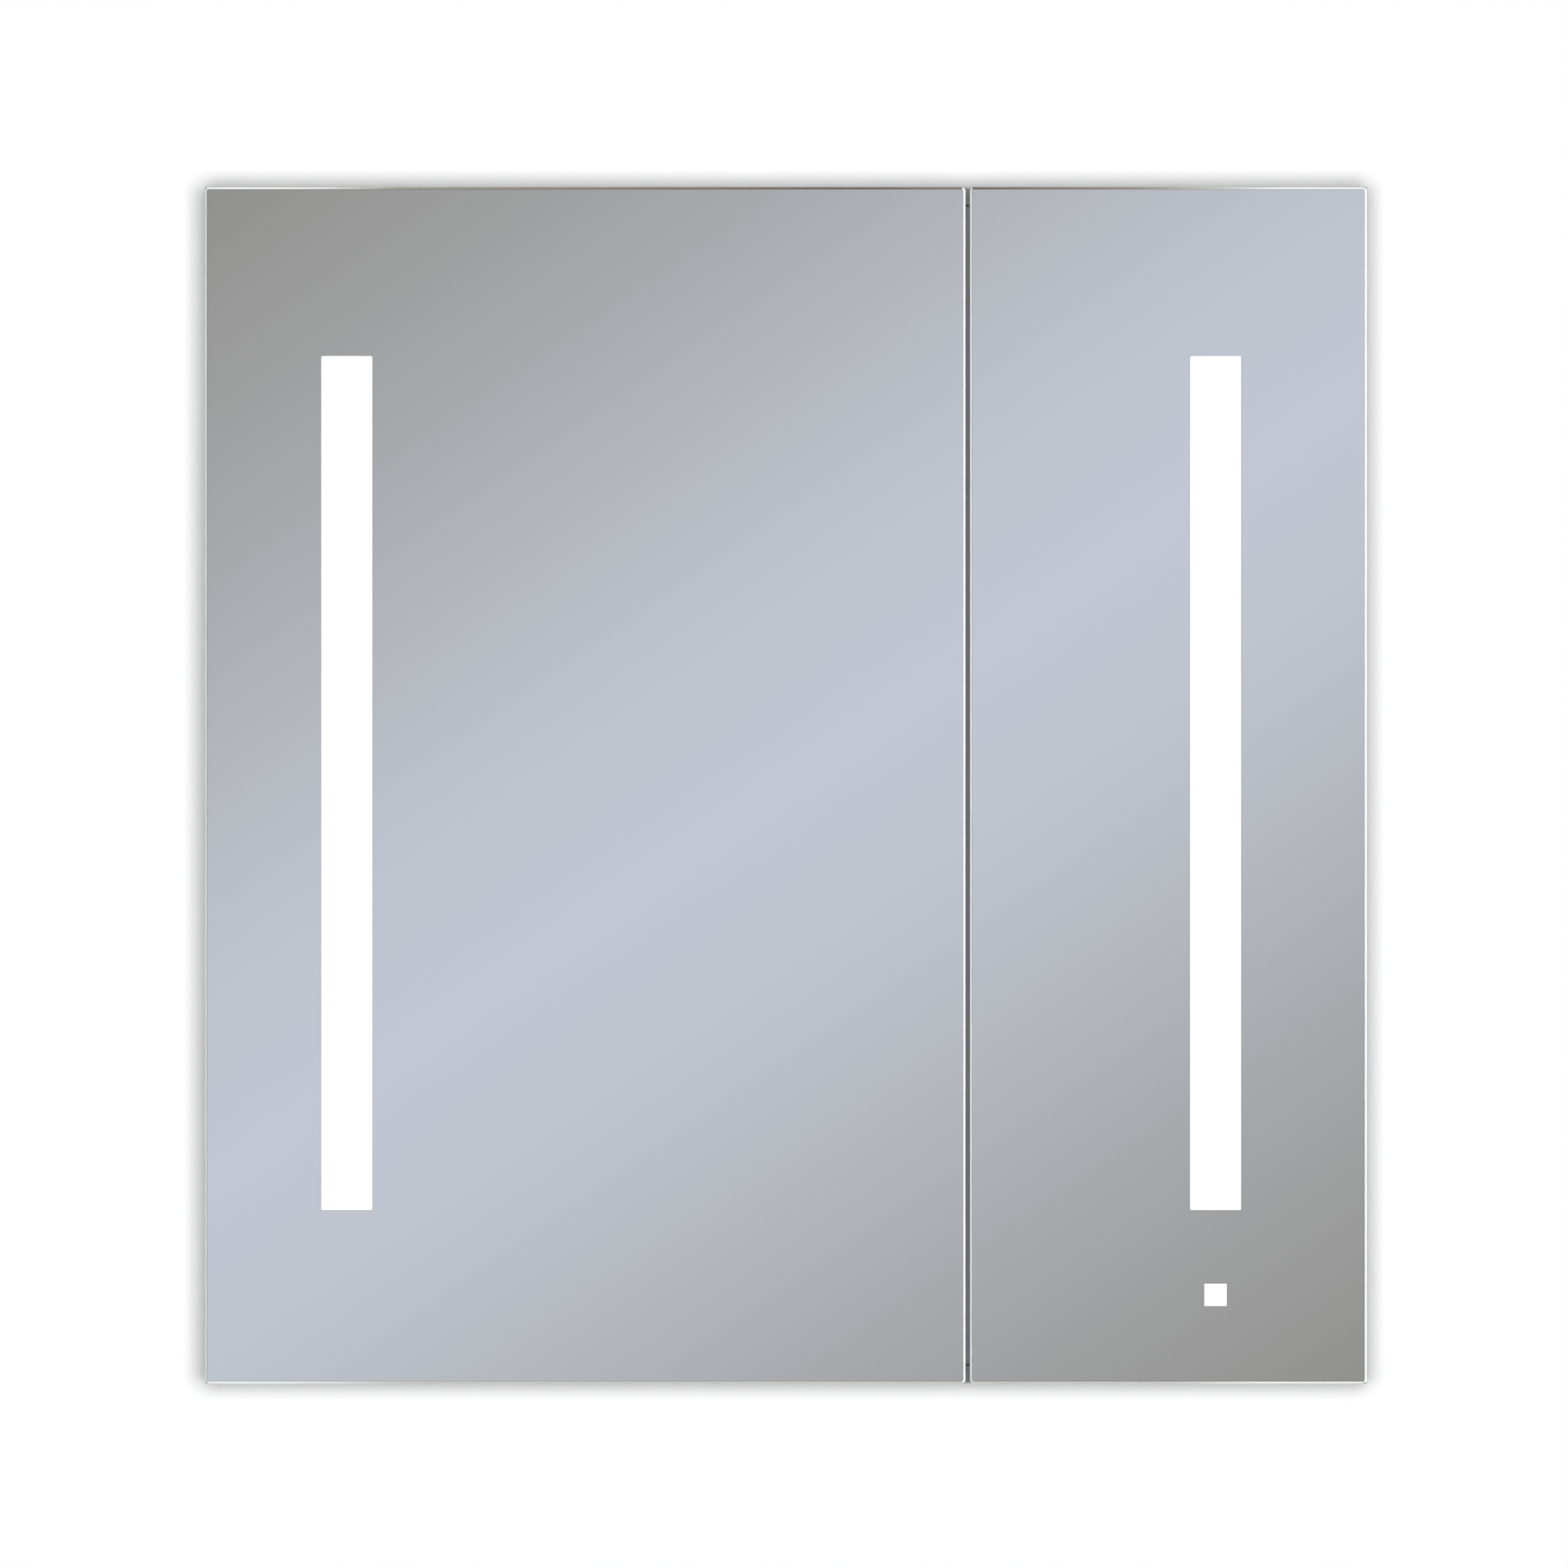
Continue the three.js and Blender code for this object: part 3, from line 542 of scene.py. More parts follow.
def fill_between(bm, loops, slot):
    """Fills the flat region between loops that have no face on one side yet."""
    edges = []
    for loop in loops:
        for i in range(len(loop)):
            pair = (loop[i], loop[(i + 1) % len(loop)])
            edges.append(bm.edges.get(pair) or bm.edges.new(pair))
    made = bmesh.ops.triangle_fill(bm, edges=edges, use_beauty=True)["geom"]
    for face in [g for g in made if isinstance(g, bmesh.types.BMFace)]:
        face.material_index = slot


def finish_mesh(bm, name, materials, crease=30):
    """The mesh as an object, with smooth shading up to crease degrees."""
    bmesh.ops.recalc_face_normals(bm, faces=bm.faces)
    mesh = bpy.data.meshes.new(name)
    bm.to_mesh(mesh)
    bm.free()
    for material in materials:
        mesh.materials.append(material)
    mesh.polygons.foreach_set("use_smooth", [True] * len(mesh.polygons))
    mesh.set_sharp_from_angle(angle=math.radians(crease))
    piece = bpy.data.objects.new(name, mesh)
    bpy.context.scene.collection.objects.link(piece)
    return piece


# %% Door mirrors
ARRIS = 1.2 * MM
CORNER = 2.5 * MM
WINDOW_CORNER = 1.0 * MM
BORDER = 0.5 * MM  # the line where the silver ends
SWITCH_CORNER = 0.3 * MM
OVERLAP_X = 1.9 * MM  # of the opal plate past the window that it lights
OVERLAP_Z = 5.2 * MM
SILVER, LEVEL_ARRIS, DULL_ARRIS, PAINTED_HIGHLIGHT_ARRIS, EDGE_SLOT, LIT, BORDER_SLOT, BACKING = range(8)


def window_of(side):
    """The lit window in a door, (low corner, high corner) in x and z, over its diffuser."""
    low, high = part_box(f"{side}_diffuser")
    return (low.x + OVERLAP_X, low.z + OVERLAP_Z), (high.x - OVERLAP_X, high.z - OVERLAP_Z)


def switch_window():
    low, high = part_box("touch_sensor_window")
    return (low.x, low.z), (high.x, high.z)


def door_mirror(side):
    low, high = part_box(f"{side}_door_mirror")
    outline = (low.x, low.z), (high.x, high.z)
    bm = bmesh.new()
    inner = rounded_outline(*inset(*outline, ARRIS), CORNER - ARRIS)
    full = rounded_outline(*outline, CORNER)
    border_outline = rounded_outline(*inset(*outline, ARRIS + BORDER), CORNER - ARRIS - BORDER)
    front = add_loop(bm, border_outline, low.y)
    silver_end = add_loop(bm, inner, low.y)
    front_edge = add_loop(bm, full, low.y + ARRIS)
    back_edge = add_loop(bm, full, high.y - ARRIS)
    back = add_loop(bm, inner, high.y)
    bridge(bm, front, silver_end, BORDER_SLOT)
    bridge(bm, silver_end, front_edge, LEVEL_ARRIS)
    bridge(bm, front_edge, back_edge, EDGE_SLOT)
    bridge(bm, back_edge, back, LEVEL_ARRIS)
    bm.faces.new(back).material_index = BACKING
    centre_x = (low.x + high.x) / 2
    # The right-hand upright arrises get the painted highlight, and the left-hand ones stay matt.
    for face in [f for f in bm.faces if f.material_index == LEVEL_ARRIS]:
        face.normal_update()
        if abs(face.normal.x) > abs(face.normal.z):
            on_right = face.calc_center_median().x > centre_x
            face.material_index = PAINTED_HIGHLIGHT_ARRIS if on_right else DULL_ARRIS

    windows = [(window_of(side), WINDOW_CORNER)]
    if side == "right":
        windows.append((switch_window(), SWITCH_CORNER))
    borders = []
    for window, corner in windows:
        lit = add_loop(bm, rounded_outline(*window, corner), low.y)
        border = add_loop(bm, rounded_outline(*inset(*window, -BORDER), corner + BORDER), low.y)
        bm.faces.new(lit).material_index = LIT
        bridge(bm, lit, border, BORDER_SLOT)
        borders.append(border)
    fill_between(bm, [front, *borders], SILVER)

    arrises = [level_arris, dull_arris, painted_highlight_arris]
    finishes = [door_silver, *arrises, glass_edge, frosted_window, silver_border, mirror_back]
    piece = finish_mesh(bm, f"{side}_mirror_glass", finishes)
    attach(piece, f"{side}_door")
    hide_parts(f"{side}_door_mirror")
    return piece


for side in ("left", "right"):
    piece = door_mirror(side)
    print(piece.name, len(piece.data.polygons), "faces")

# %% [markdown]
# ## Plated and ground metal
# The hinges and shelf pins are cast or turned and then plated with satin nickel, which is warmer
# than aluminium. A fine noise in its roughness gives the cloudy look of a bath that isn't stirred.
# The hinge pins and strike plates are bare ground steel, darker, with short scratches from the
# wheel, drawn about half a millimetre apart so that they can be seen.

# %% Nickel and steel
def clouded_metal(name, low, high, scale, roughest):
    """A bare or plated metal; scale is the three sizes of its marks."""
    material, tree, shader = new_material(name, metallic=1.0)
    sized = {"Vector": own_place(tree), "Scale": [1 / size for size in scale]}
    marks = add_node(tree, "ShaderNodeMapping", sized)
    cloud = {"Vector": marks.outputs[0], "Scale": 1.0, "Detail": 4.0}
    noise = add_node(tree, "ShaderNodeTexNoise", cloud)
    tree.links.new(vary(tree, noise.outputs[0], low, high), shader.inputs["Base Color"])
    rough = spread_out(tree, noise.outputs[0], roughest / 2, roughest)
    tree.links.new(rough, shader.inputs["Roughness"])
    return material


nickel = clouded_metal("satin_nickel_plate", "#c4c0b7", "#ccc8c0", (9 * MM, 9 * MM, 9 * MM), 0.3)
steel = clouded_metal("ground_steel", "#9b9da0", "#b8babc", (0.5 * MM, 0.5 * MM, 12 * MM), 0.36)
print(nickel.name, steel.name)

# %% [markdown]
# ## Plastics, rubber and circuit boards
# The catches and the LED driver are moulded ABS with a fine spark texture from the mould. The opal
# plates are cast acrylic, and the bumpers are clear polyurethane. The leads and the inlet bushing
# are EPDM rubber, nearly black, with a bloom of paler grey. The grey rubber strip on the divider is
# painted shade, for the dark gap between the doors. The LED strip has white solder resist. The
# touch board is green, and its copper tracks show through as paler lines, which a brick pattern
# draws two millimetres apart.

# %% Plastics and rubber
SPARK = 0.6 * MM
OPAL_GLOW = 0.8
URETHANE = {"roughness": 0.15, "ior": 1.5, "transmission_weight": 0.7}
white_abs, _, _ = grainy("moulded_white_abs", SPARK, "#dfe0de", "#ebebe9", roughness=0.45)
opal_acrylic, _, shader = grainy("opal_cast_acrylic", 4 * MM, "#f4f4f6", "#fdfdff", roughness=0.35)
light_up(shader, "#ffffff", OPAL_GLOW)
clear_bumper, _, _ = grainy("clear_polyurethane", 2 * MM, "#e6e9ea", "#f6f8f8", **URETHANE)
rubber, _, _ = grainy("extruded_epdm_rubber", 0.8 * MM, "#26272a", "#34363a", roughness=0.7)
# Painted shade: the grey of the strip on the divider, which shows dark through the gap between the
# doors.
shade_strip_rubber, _, _ = grainy("grey_painted_shade_rubber", 0.8 * MM, "#6c6e75", "#7b7d83", roughness=0.6)
white_resist, _, _ = grainy("white_solder_resist", 1.5 * MM, "#e9ebe9", "#f3f4f2", roughness=0.4)
phosphor, _, _ = grainy("yellow_phosphor", 0.3 * MM, "#e8d36a", "#f2e08a", roughness=0.5)
print(white_abs.name, opal_acrylic.name, rubber.name, shade_strip_rubber.name, white_resist.name)

# %% Green board
TRACK_PITCH = 2 * MM
green_resist, tree, shader = new_material("green_solder_resist", roughness=0.35)
upright = {"Vector": own_place(tree), "Rotation": (math.pi / 2, 0, 0)}
board_plane = add_node(tree, "ShaderNodeMapping", upright)
layout = {"Vector": board_plane.outputs[0], "Scale": 1 / TRACK_PITCH, "Mortar Size": 0.12}
layout |= {"Color1": to_linear("#12492f"), "Color2": to_linear("#174f35")}
layout |= {"Mortar": to_linear("#3c8a5c")}
tracks = add_node(tree, "ShaderNodeTexBrick", layout)
tree.links.new(tracks.outputs["Color"], shader.inputs["Base Color"])
print(green_resist.name)

# %% [markdown]
# ## Finishes for the solid model's own parts
# Most parts of the solid model already have their true shape, so each is only given its finish. The
# ends of its names say what a part is, which keeps the list short. Parts that stand upright get the
# grain that runs upright.

# %% Finishes
FINISHES = {
    ("side_panel", "stile", "light_channel", "centre_divider"): upright_aluminium,
    ("rail", "top_panel", "bottom_panel", "back_panel", "driver_cover"): level_aluminium,
    ("inner_mirror", "back_mirror"): thin_silver,
    ("hinge_plate", "hinge_arm", "hinge_socket"): nickel,
    ("hinge_pin", "strike_plate"): steel,
    ("catch", "led_driver"): white_abs,
    ("diffuser", "sensor_window"): opal_acrylic,
    ("led_strip",): white_resist,
    ("sensor_board",): green_resist,
    ("bushing", "lead"): rubber,
}
for endings, finish in FINISHES.items():
    members = [node for name, node in nodes.items() if name.endswith(endings)]
    for node in members:
        node.data.materials.clear()
        node.data.materials.append(finish)
    print(f"{finish.name}: {len(members)}")

# %% [markdown]
# ## The shelves
# A shelf is six millimetres of float glass. Its edges are ground round like a pencil, which a
# solid block can't show, so each block is replaced. A bevel modifier would do it, but stacked
# outlines give the round edge and the round corners with few faces. Clear glass shows most of its
# green in the edge, where one looks through the whole shelf, so the edge has a colour of its own.

# %% Shelf glass
FINGERPRINT = 25 * MM
clear_glass, tree, shader = new_material(
    "clear_float_glass", base_color=to_linear("#f3faf7"), transmission_weight=1.0, **GLASS
)
touched = {"Vector": own_place(tree), "Scale": 1 / FINGERPRINT, "Detail": 3.0}
prints = add_node(tree, "ShaderNodeTexNoise", touched)
tree.links.new(spread_out(tree, prints.outputs[0], 0.0, 0.03), shader.inputs["Roughness"])
half_clear = {"roughness": 0.25, "transmission_weight": 0.5, **GLASS}
pencil_edge, _, _ = grainy("pencil_ground_edge", GRIT, "#a9cfc0", "#c4e0d5", **half_clear)
print(clear_glass.name, pencil_edge.name)

# %% Shelves
PENCIL = 2.2 * MM  # how far the round edge bulges past the flat top
PENCIL_STEPS = 8
SHELF_CORNER = 5 * MM


def stacked(bm, outlines, place, slots):
    """Closes a stack of outlines, (points, height) in place's own frame. slots are side, ends."""
    loops = []
    for points, height in outlines:
        loops.append([bm.verts.new(place @ Vector((x, y, height))) for x, y in points])
    for first, second in zip(loops, loops[1:]):
        bridge(bm, first, second, slots[0])
    bm.faces.new(loops[0]).material_index = slots[1]
    bm.faces.new(loops[-1]).material_index = slots[1]


def shelf(name):
    low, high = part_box(name)
    half_thick = (high.z - low.z) / 2
    outlines = []
    for i in range(PENCIL_STEPS + 1):
        angle = math.pi * (i / PENCIL_STEPS - 0.5)
        by = PENCIL * (1 - math.cos(angle))
        x_y_low, x_y_high = inset((low.x, low.y), (high.x, high.y), by)
        height = low.z + half_thick * (1 + math.sin(angle))
        outlines.append((rounded_outline(x_y_low, x_y_high, SHELF_CORNER - by), height))
    bm = bmesh.new()
    stacked(bm, outlines, Matrix(), (1, 0))
    piece = finish_mesh(bm, f"{name}_glass", [clear_glass, pencil_edge])
    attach(piece, "cabinet")
    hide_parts(name)
    return piece


shelf_names = sorted(name for name in nodes if name.endswith("shelf"))
shelves = [shelf(name) for name in shelf_names]
print(len(shelves), "shelves of", len(shelves[0].data.polygons), "faces")

# %% [markdown]
# ## Turned parts
# Pins, screw heads, bumpers and grommets are all turned: each has a profile that is spun round an
# axis. One function spins a profile and stands it on a surface, looking outwards from it.

# %% Spinning a profile
def standing(position, outward):
    """A place on a surface, with local Z along outward."""
    turn_to = Vector(outward).to_track_quat("Z", "Y").to_matrix().to_4x4()
    return Matrix.Translation(position) @ turn_to


def spin(bm, profile, place, sides=20, slot=0, closed=False):
    """Spins (radius, height) points, in millimetres, and returns the last ring."""
    rings = []
    for radius, height in profile:
        count = sides if radius else 1
        angles = [2 * math.pi * i / sides for i in range(count)]
        points = [(radius * math.cos(a), radius * math.sin(a), height) for a in angles]
        rings.append([bm.verts.new(place @ (Vector(point) * MM)) for point in points])
    if closed:
        rings.append(rings[0])
    for first, second in zip(rings, rings[1:]):
        for i in range(sides):
            j = (i + 1) % sides
            around = first[i % len(first)], first[j % len(first)]
            back = second[j % len(second)], second[i % len(second)]
            bm.faces.new(dict.fromkeys(around + back)).material_index = slot
    return rings[-1]


def fitting(bm, name, body, materials):
    """The finished mesh, riding on its body."""
    piece = finish_mesh(bm, name, materials)
    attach(piece, body)
    return piece


print("spin ready")

# %% [markdown]
# ## Shelf pins
# Each shelf lies on four plated pins, pushed into the holes in the sides and the divider. A collar
# stops the pin at the surface, and a clear sleeve keeps glass and metal apart.

# %% Shelf pins
PIN_STUB = [(0, -6), (2.0, -6), (2.3, -5.6), (2.3, -0.1), (3.4, 0.05), (3.4, 0.9), (3.1, 1.2)]
PIN_SHAFT = [(2.2, 1.2), (2.2, 8.0), (1.9, 8.4), (0, 8.4)]
SLEEVE = [(2.25, 1.4), (2.7, 1.5), (2.7, 7.6), (2.25, 7.7)]
PIN_BELOW = 2.8 * MM  # from the shelf's underside down to the pin's axis
PIN_Y = (-72 * MM, -30 * MM)
divider_low, divider_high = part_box("centre_divider")
bay_walls = {
    "wide": (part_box("left_side_panel")[1].x, divider_low.x),
    "narrow": (divider_high.x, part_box("right_side_panel")[0].x),
}


def shelf_pins(name):
    bm = bmesh.new()
    left_wall, right_wall = bay_walls[name.split("_")[0]]
    for x, outward in ((left_wall, (1, 0, 0)), (right_wall, (-1, 0, 0))):
        for y in PIN_Y:
            place = standing((x, y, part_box(name)[0].z - PIN_BELOW), outward)
            spin(bm, PIN_STUB + PIN_SHAFT, place)
            spin(bm, SLEEVE, place, slot=1, closed=True)
    return fitting(bm, f"{name}_pins", "cabinet", [nickel, clear_bumper])


pins = [shelf_pins(name) for name in shelf_names]
print(4 * len(pins), "pins")

# %% [markdown]
# ## Screws
# Every screw has a head with a cross recess. A recess drawn by a bump would vanish from the side,
# so it is cut: the top of the head is filled between its rim and a cross, and the cross goes down
# to a smaller one. Pan heads stand on a surface, and countersunk ones lie almost flush with it.

# %% Screw heads
CROSS_ARM = 0.52  # reach of the cross, half its arm's width and its depth, against the radius
CROSS_HALF = 0.13
CROSS_DEPTH = 0.35


def cross_loop(bm, place, radius, height, size):
    """Twelve corners of a cross."""
    corners = []
    for quarter in range(4):
        turn = Matrix.Rotation(quarter * math.pi / 2, 2)
        for x, y in ((CROSS_ARM, -CROSS_HALF), (CROSS_ARM, CROSS_HALF), (CROSS_HALF, CROSS_HALF)):
            flat = turn @ Vector((x, y)) * radius * size
            corners.append(bm.verts.new(place @ (Vector((*flat, height)) * MM)))
    return corners


def screw(bm, place, radius, proud):
    """A pan head of the radius, standing proud of the surface; both in millimetres."""
    sunk = [(0, -0.1), (radius, -0.1), (radius, 0.4 * proud), (0.88 * radius, 0.85 * proud)]
    rim = spin(bm, [*sunk, (0.7 * radius, proud)], place)
    top = cross_loop(bm, place, radius, proud, 1.0)
    floor_of_cross = cross_loop(bm, place, radius, proud - CROSS_DEPTH * radius, 0.7)
    fill_between(bm, [rim, top], 0)
    bridge(bm, top, floor_of_cross, 0)
    bm.faces.new(floor_of_cross)


def screws(name, body, places, radius, proud, finish=nickel, slot="nickel_plate"):
    """One piece for a row of equal screws; places are (position, outward)."""
    bm = bmesh.new()
    for position, outward in places:
        screw(bm, standing(position, outward), radius, proud)
    return fitting(bm, name, body, [finish])


print("screws ready")

# %% Hinge screws
TOWARDS_ROOM = (0, -1, 0)
TOWARDS_WALL = (0, 1, 0)
HINGE_HEAD = (3.4, 1.7)  # a head's radius and height, in millimetres, as for the heads below
SOCKET_HEAD = (3.0, 0.6)
WING_SCREW = 15.5 * MM  # above and below the hinge's middle
SOCKET_SCREW = 17.5 * MM
ARM_SCREWS = (-8 * MM, 6 * MM)  # in front of the wing's screws and behind them
WING_BACK = 2 * MM  # from the plate's middle to the wing's screws
SOCKET_IN = 2 * MM
hinge_screws = []
for side, inward in (("left", 1), ("right", -1)):
    for level in ("upper", "lower"):
        plate_low, plate_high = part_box(f"{side}_{level}_hinge_plate")
        arm_low, arm_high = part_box(f"{side}_{level}_hinge_arm")
        plate_x = plate_high.x if inward > 0 else plate_low.x
        arm_x = arm_high.x if inward > 0 else arm_low.x
        z = (plate_low.z + plate_high.z) / 2
        wing_y = (plate_low.y + plate_high.y) / 2 + WING_BACK
        on_wing = [((plate_x, wing_y, z + dz), (inward, 0, 0)) for dz in (-WING_SCREW, WING_SCREW)]
        on_arm = [((arm_x, wing_y + dy, z), (inward, 0, 0)) for dy in ARM_SCREWS]
        name = f"{side}_{level}_hinge"
        hinge_screws.append(screws(f"{name}_screws", "cabinet", on_wing + on_arm, *HINGE_HEAD))
        socket_low, socket_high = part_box(f"{name}_socket")
        x = (socket_low.x + socket_high.x) / 2 + inward * SOCKET_IN
        y = socket_high.y
        in_door = [((x, y, z + dz), TOWARDS_WALL) for dz in (-SOCKET_SCREW, SOCKET_SCREW)]
        socket_screws = screws(f"{name}_socket_screws", f"{side}_door", in_door, *SOCKET_HEAD)
        hinge_screws.append(socket_screws)
print([piece.name for piece in hinge_screws])

# %% Catch, strike and cover screws
CATCH_HEAD = (2.6, 1.2)
STRIKE_HEAD = (2.2, 0.2)
COVER_HEAD = (2.8, 1.4)
BACK_HEAD = (3.2, 0.12)
CATCH_SCREW = 11 * MM  # above and below the catch's middle
CATCH_FROM_BACK = 6 * MM
STRIKE_SCREW = 8.5 * MM
COVER_DOWN = 9 * MM  # from the cover's top and ends to its screws
COVER_IN = 25 * MM
for side, inward in (("left", -1), ("right", 1)):
    catch_low, catch_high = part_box(f"{side}_door_catch")
    x = catch_low.x if inward < 0 else catch_high.x
    y = catch_high.y - CATCH_FROM_BACK
    z = (catch_low.z + catch_high.z) / 2
    places = [((x, y, z + dz), (inward, 0, 0)) for dz in (-CATCH_SCREW, CATCH_SCREW)]
    screws(f"{side}_catch_screws", "cabinet", places, *CATCH_HEAD)
    strike_low, strike_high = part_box(f"{side}_strike_plate")
    x = (strike_low.x + strike_high.x) / 2
    y = strike_high.y
    places = [((x, y, z + dz), TOWARDS_WALL) for dz in (-STRIKE_SCREW, STRIKE_SCREW)]
    screws(f"{side}_strike_screws", f"{side}_door", places, *STRIKE_HEAD, steel, "bright_steel")

cover_low, cover_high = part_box("driver_cover")
cover_z = cover_high.z - COVER_DOWN
cover_reach = (cover_high.x - cover_low.x) / 2 - COVER_IN
cover_middle = (cover_low.x + cover_high.x) / 2
cover_x = [cover_middle + cover_reach * i for i in (-1, 0, 1)]
places = [((x, cover_low.y, cover_z), TOWARDS_ROOM) for x in cover_x]
screws("driver_cover_screws", "cabinet", places, *COVER_HEAD)

WALL_MIDDLE = 6 * MM  # from the box's outside to the middle of its walls, where the screws bite
UPRIGHT_SCREWS = (-330 * MM, -110 * MM, 110 * MM, 330 * MM)
LEVEL_SCREWS = (-240 * MM, 0, 240 * MM)
edge_x = WIDTH / 2 - WALL_MIDDLE
edge_z = HEIGHT / 2 - WALL_MIDDLE
places = [((side * edge_x, 0, z), TOWARDS_WALL) for side in (-1, 1) for z in UPRIGHT_SCREWS]
places += [((x, 0, side * edge_z), TOWARDS_WALL) for side in (-1, 1) for x in LEVEL_SCREWS]
screws("back_panel_screws", "cabinet", places, *BACK_HEAD)
print(len(places), "back panel screws")

# %% [markdown]
# ## The door frames' corners
# Rails and stiles are screwed together at the corners, and a moulded insert closes the notch where
# the rail meets the stile's ledge. A bumper on each free corner lands on the box. A grey rubber
# strip down the front of the divider is painted shade: it is what shows, dark, through the gap
# between the doors.

# %% Frame corners
INSERT_CORNER = 0.8 * MM
INSERT_CHAMFER = 0.4 * MM
INSERT_PLAY = 0.2 * MM
LEDGE_DEPTH = 3.6 * MM
BUMPER = [(0, -0.05), (4, -0.05), (4, 0.35), (3.7, 0.9), (3.0, 1.4), (1.8, 1.7), (0, 1.8)]
BUMPER_FROM_TOP = 6 * MM
FRAME_HEAD = (2.6, 0.35)


def block(bm, low, high, chamfer, corner, slot=0):
    """A block from low to high with round upright edges and a chamfer at its top and bottom."""
    outlines = []
    levels = [(chamfer, low.z), (0, low.z + chamfer), (0, high.z - chamfer), (chamfer, high.z)]
    for by, height in levels:
        x_y_low, x_y_high = inset((low.x, low.y), (high.x, high.y), by)
        outlines.append((rounded_outline(x_y_low, x_y_high, corner - by, 3), height))
    stacked(bm, outlines, Matrix(), (slot, slot))


def frame_corners(side):
    """Inserts in the four notches, with a screw beside each."""
    inner_low, inner_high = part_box(f"{side}_inner_mirror")
    rail_low, rail_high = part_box(f"{side}_top_rail")
    frame_back = rail_high.y
    bm = bmesh.new()
    places = []
    for stile in ("hinge_stile", "free_stile"):
        low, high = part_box(f"{side}_{stile}")
        is_left = low.x < rail_low.x
        notch = (inner_low.x, rail_low.x) if is_left else (rail_high.x, inner_high.x)
        for level in (-1, 1):
            ends = sorted((level * (inner_high.z + INSERT_PLAY), level * (high.z - INSERT_PLAY)))
            corner_low = Vector((notch[0], frame_back - LEDGE_DEPTH + INSERT_PLAY, ends[0]))
            corner_high = Vector((notch[1], frame_back - INSERT_PLAY, ends[1]))
            block(bm, corner_low, corner_high, INSERT_CHAMFER, INSERT_CORNER)
            solid_middle = (low.x + inner_low.x) / 2 if is_left else (inner_high.x + high.x) / 2
            z = level * (rail_high.z + rail_low.z) / 2
            places.append(((solid_middle, frame_back, z), TOWARDS_WALL))
    fitting(bm, f"{side}_frame_corner_inserts", f"{side}_door", [white_abs])
    return screws(f"{side}_frame_screws", f"{side}_door", places, *FRAME_HEAD)


def bumpers(side):
    low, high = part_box(f"{side}_free_stile")
    bm = bmesh.new()
    for z in (low.z + BUMPER_FROM_TOP, high.z - BUMPER_FROM_TOP):
        x = (low.x + high.x) / 2
        spin(bm, BUMPER, standing((x, high.y, z), TOWARDS_WALL))
    return fitting(bm, f"{side}_door_bumpers", f"{side}_door", [clear_bumper])


for side in ("left", "right"):
    print(frame_corners(side).name, bumpers(side).name)

# %% Divider seal, painted shade for the gap between the doors
SEAL_HALF = 5.5 * MM
SEAL_HEIGHT = 1.4 * MM
SEAL_STEPS = 12
SEAL_SHORT = 1 * MM  # at each end
SEAL_GAP = 0.02 * MM  # in front of the divider, so that no faces meet
bm = bmesh.new()
angles = [math.pi * i / SEAL_STEPS for i in range(SEAL_STEPS + 1)]
section = [(SEAL_HALF * math.cos(a), SEAL_HEIGHT * math.sin(a)) for a in angles]
seal_x = (divider_low.x + divider_high.x) / 2
seal_y = divider_low.y - SEAL_GAP
points = [(seal_x + x, seal_y - y) for x, y in section]
ends = (divider_low.z + SEAL_SHORT, divider_high.z - SEAL_SHORT)
stacked(bm, [(points, z) for z in ends], Matrix(), (0, 0))
shade_seal = fitting(bm, "divider_painted_shade_seal", "cabinet", [shade_strip_rubber])
print(shade_seal.name, len(shade_seal.data.polygons))

# %% [markdown]
# ## The leads to the doors
# A thin ribbed conduit carries the low-voltage wires from the side of the box to each door. It
# hangs close to the hinge line, so it twists rather than stretches. Both its ends are held, so its
# route is the solid model's route.

# %% Door leads
LEAD_ROUTE = [
    (1, -14, 0), (4, -14, -1), (6.8, -12.5, -9), (7.2, -11, -22),
    (7.2, -9.5, -36), (7, -7.5, -49), (6.2, -3.5, -58), (6, 0.9, -60),
]  # into the bay, out of the box, up; millimetres from where the lead leaves the side
LEAD_Z = 40
LEAD_RADIUS = 2.0
RIB_PITCH = 2.2
RIB_DEPTH = 0.35
LEAD_SIDES = 14
STEPS_PER_LEG = 20
bay_edge = bay_walls["narrow"][1]
box_front = divider_low.y


def lead_point(side, point):
    """A point of the route in the frame's metres."""
    u, v, dz = point
    return Vector((side * (bay_edge - u * MM), box_front - v * MM, (LEAD_Z + dz) * MM))


def smooth_route(points):
    """A Catmull-Rom curve through the points."""
    first = points[0] * 2 - points[1]
    last = points[-1] * 2 - points[-2]
    padded = [first, *points, last]
    route = []
    for a, b, c, d in zip(padded, padded[1:], padded[2:], padded[3:]):
        for step in range(STEPS_PER_LEG):
            t = step / STEPS_PER_LEG
            pull = (c - a) * t + (a * 2 - b * 5 + c * 4 - d) * t**2 + (b * 3 - a - c * 3 + d) * t**3
            route.append(b + pull / 2)
    return [*route, points[-1]]


def ribbed_tube(bm, route):
    across = (route[1] - route[0]).orthogonal().normalized()
    run = 0.0
    rings = []
    for i, point in enumerate(route):
        ahead = (route[min(i + 1, len(route) - 1)] - route[max(i - 1, 0)]).normalized()
        across = (across - ahead * across.dot(ahead)).normalized()
        beside = ahead.cross(across)
        run += (point - route[max(i - 1, 0)]).length / MM
        rib = 0.5 - 0.5 * math.cos(2 * math.pi * run / RIB_PITCH)
        radius = (LEAD_RADIUS - RIB_DEPTH * rib) * MM
        ring = []
        for k in range(LEAD_SIDES):
            angle = 2 * math.pi * k / LEAD_SIDES
            out = across * math.cos(angle) + beside * math.sin(angle)
            ring.append(bm.verts.new(point + out * radius))
        rings.append(ring)
    for first, second in zip(rings, rings[1:]):
        bridge(bm, first, second, 0)
    bm.faces.new(rings[0])
    bm.faces.new(rings[-1])


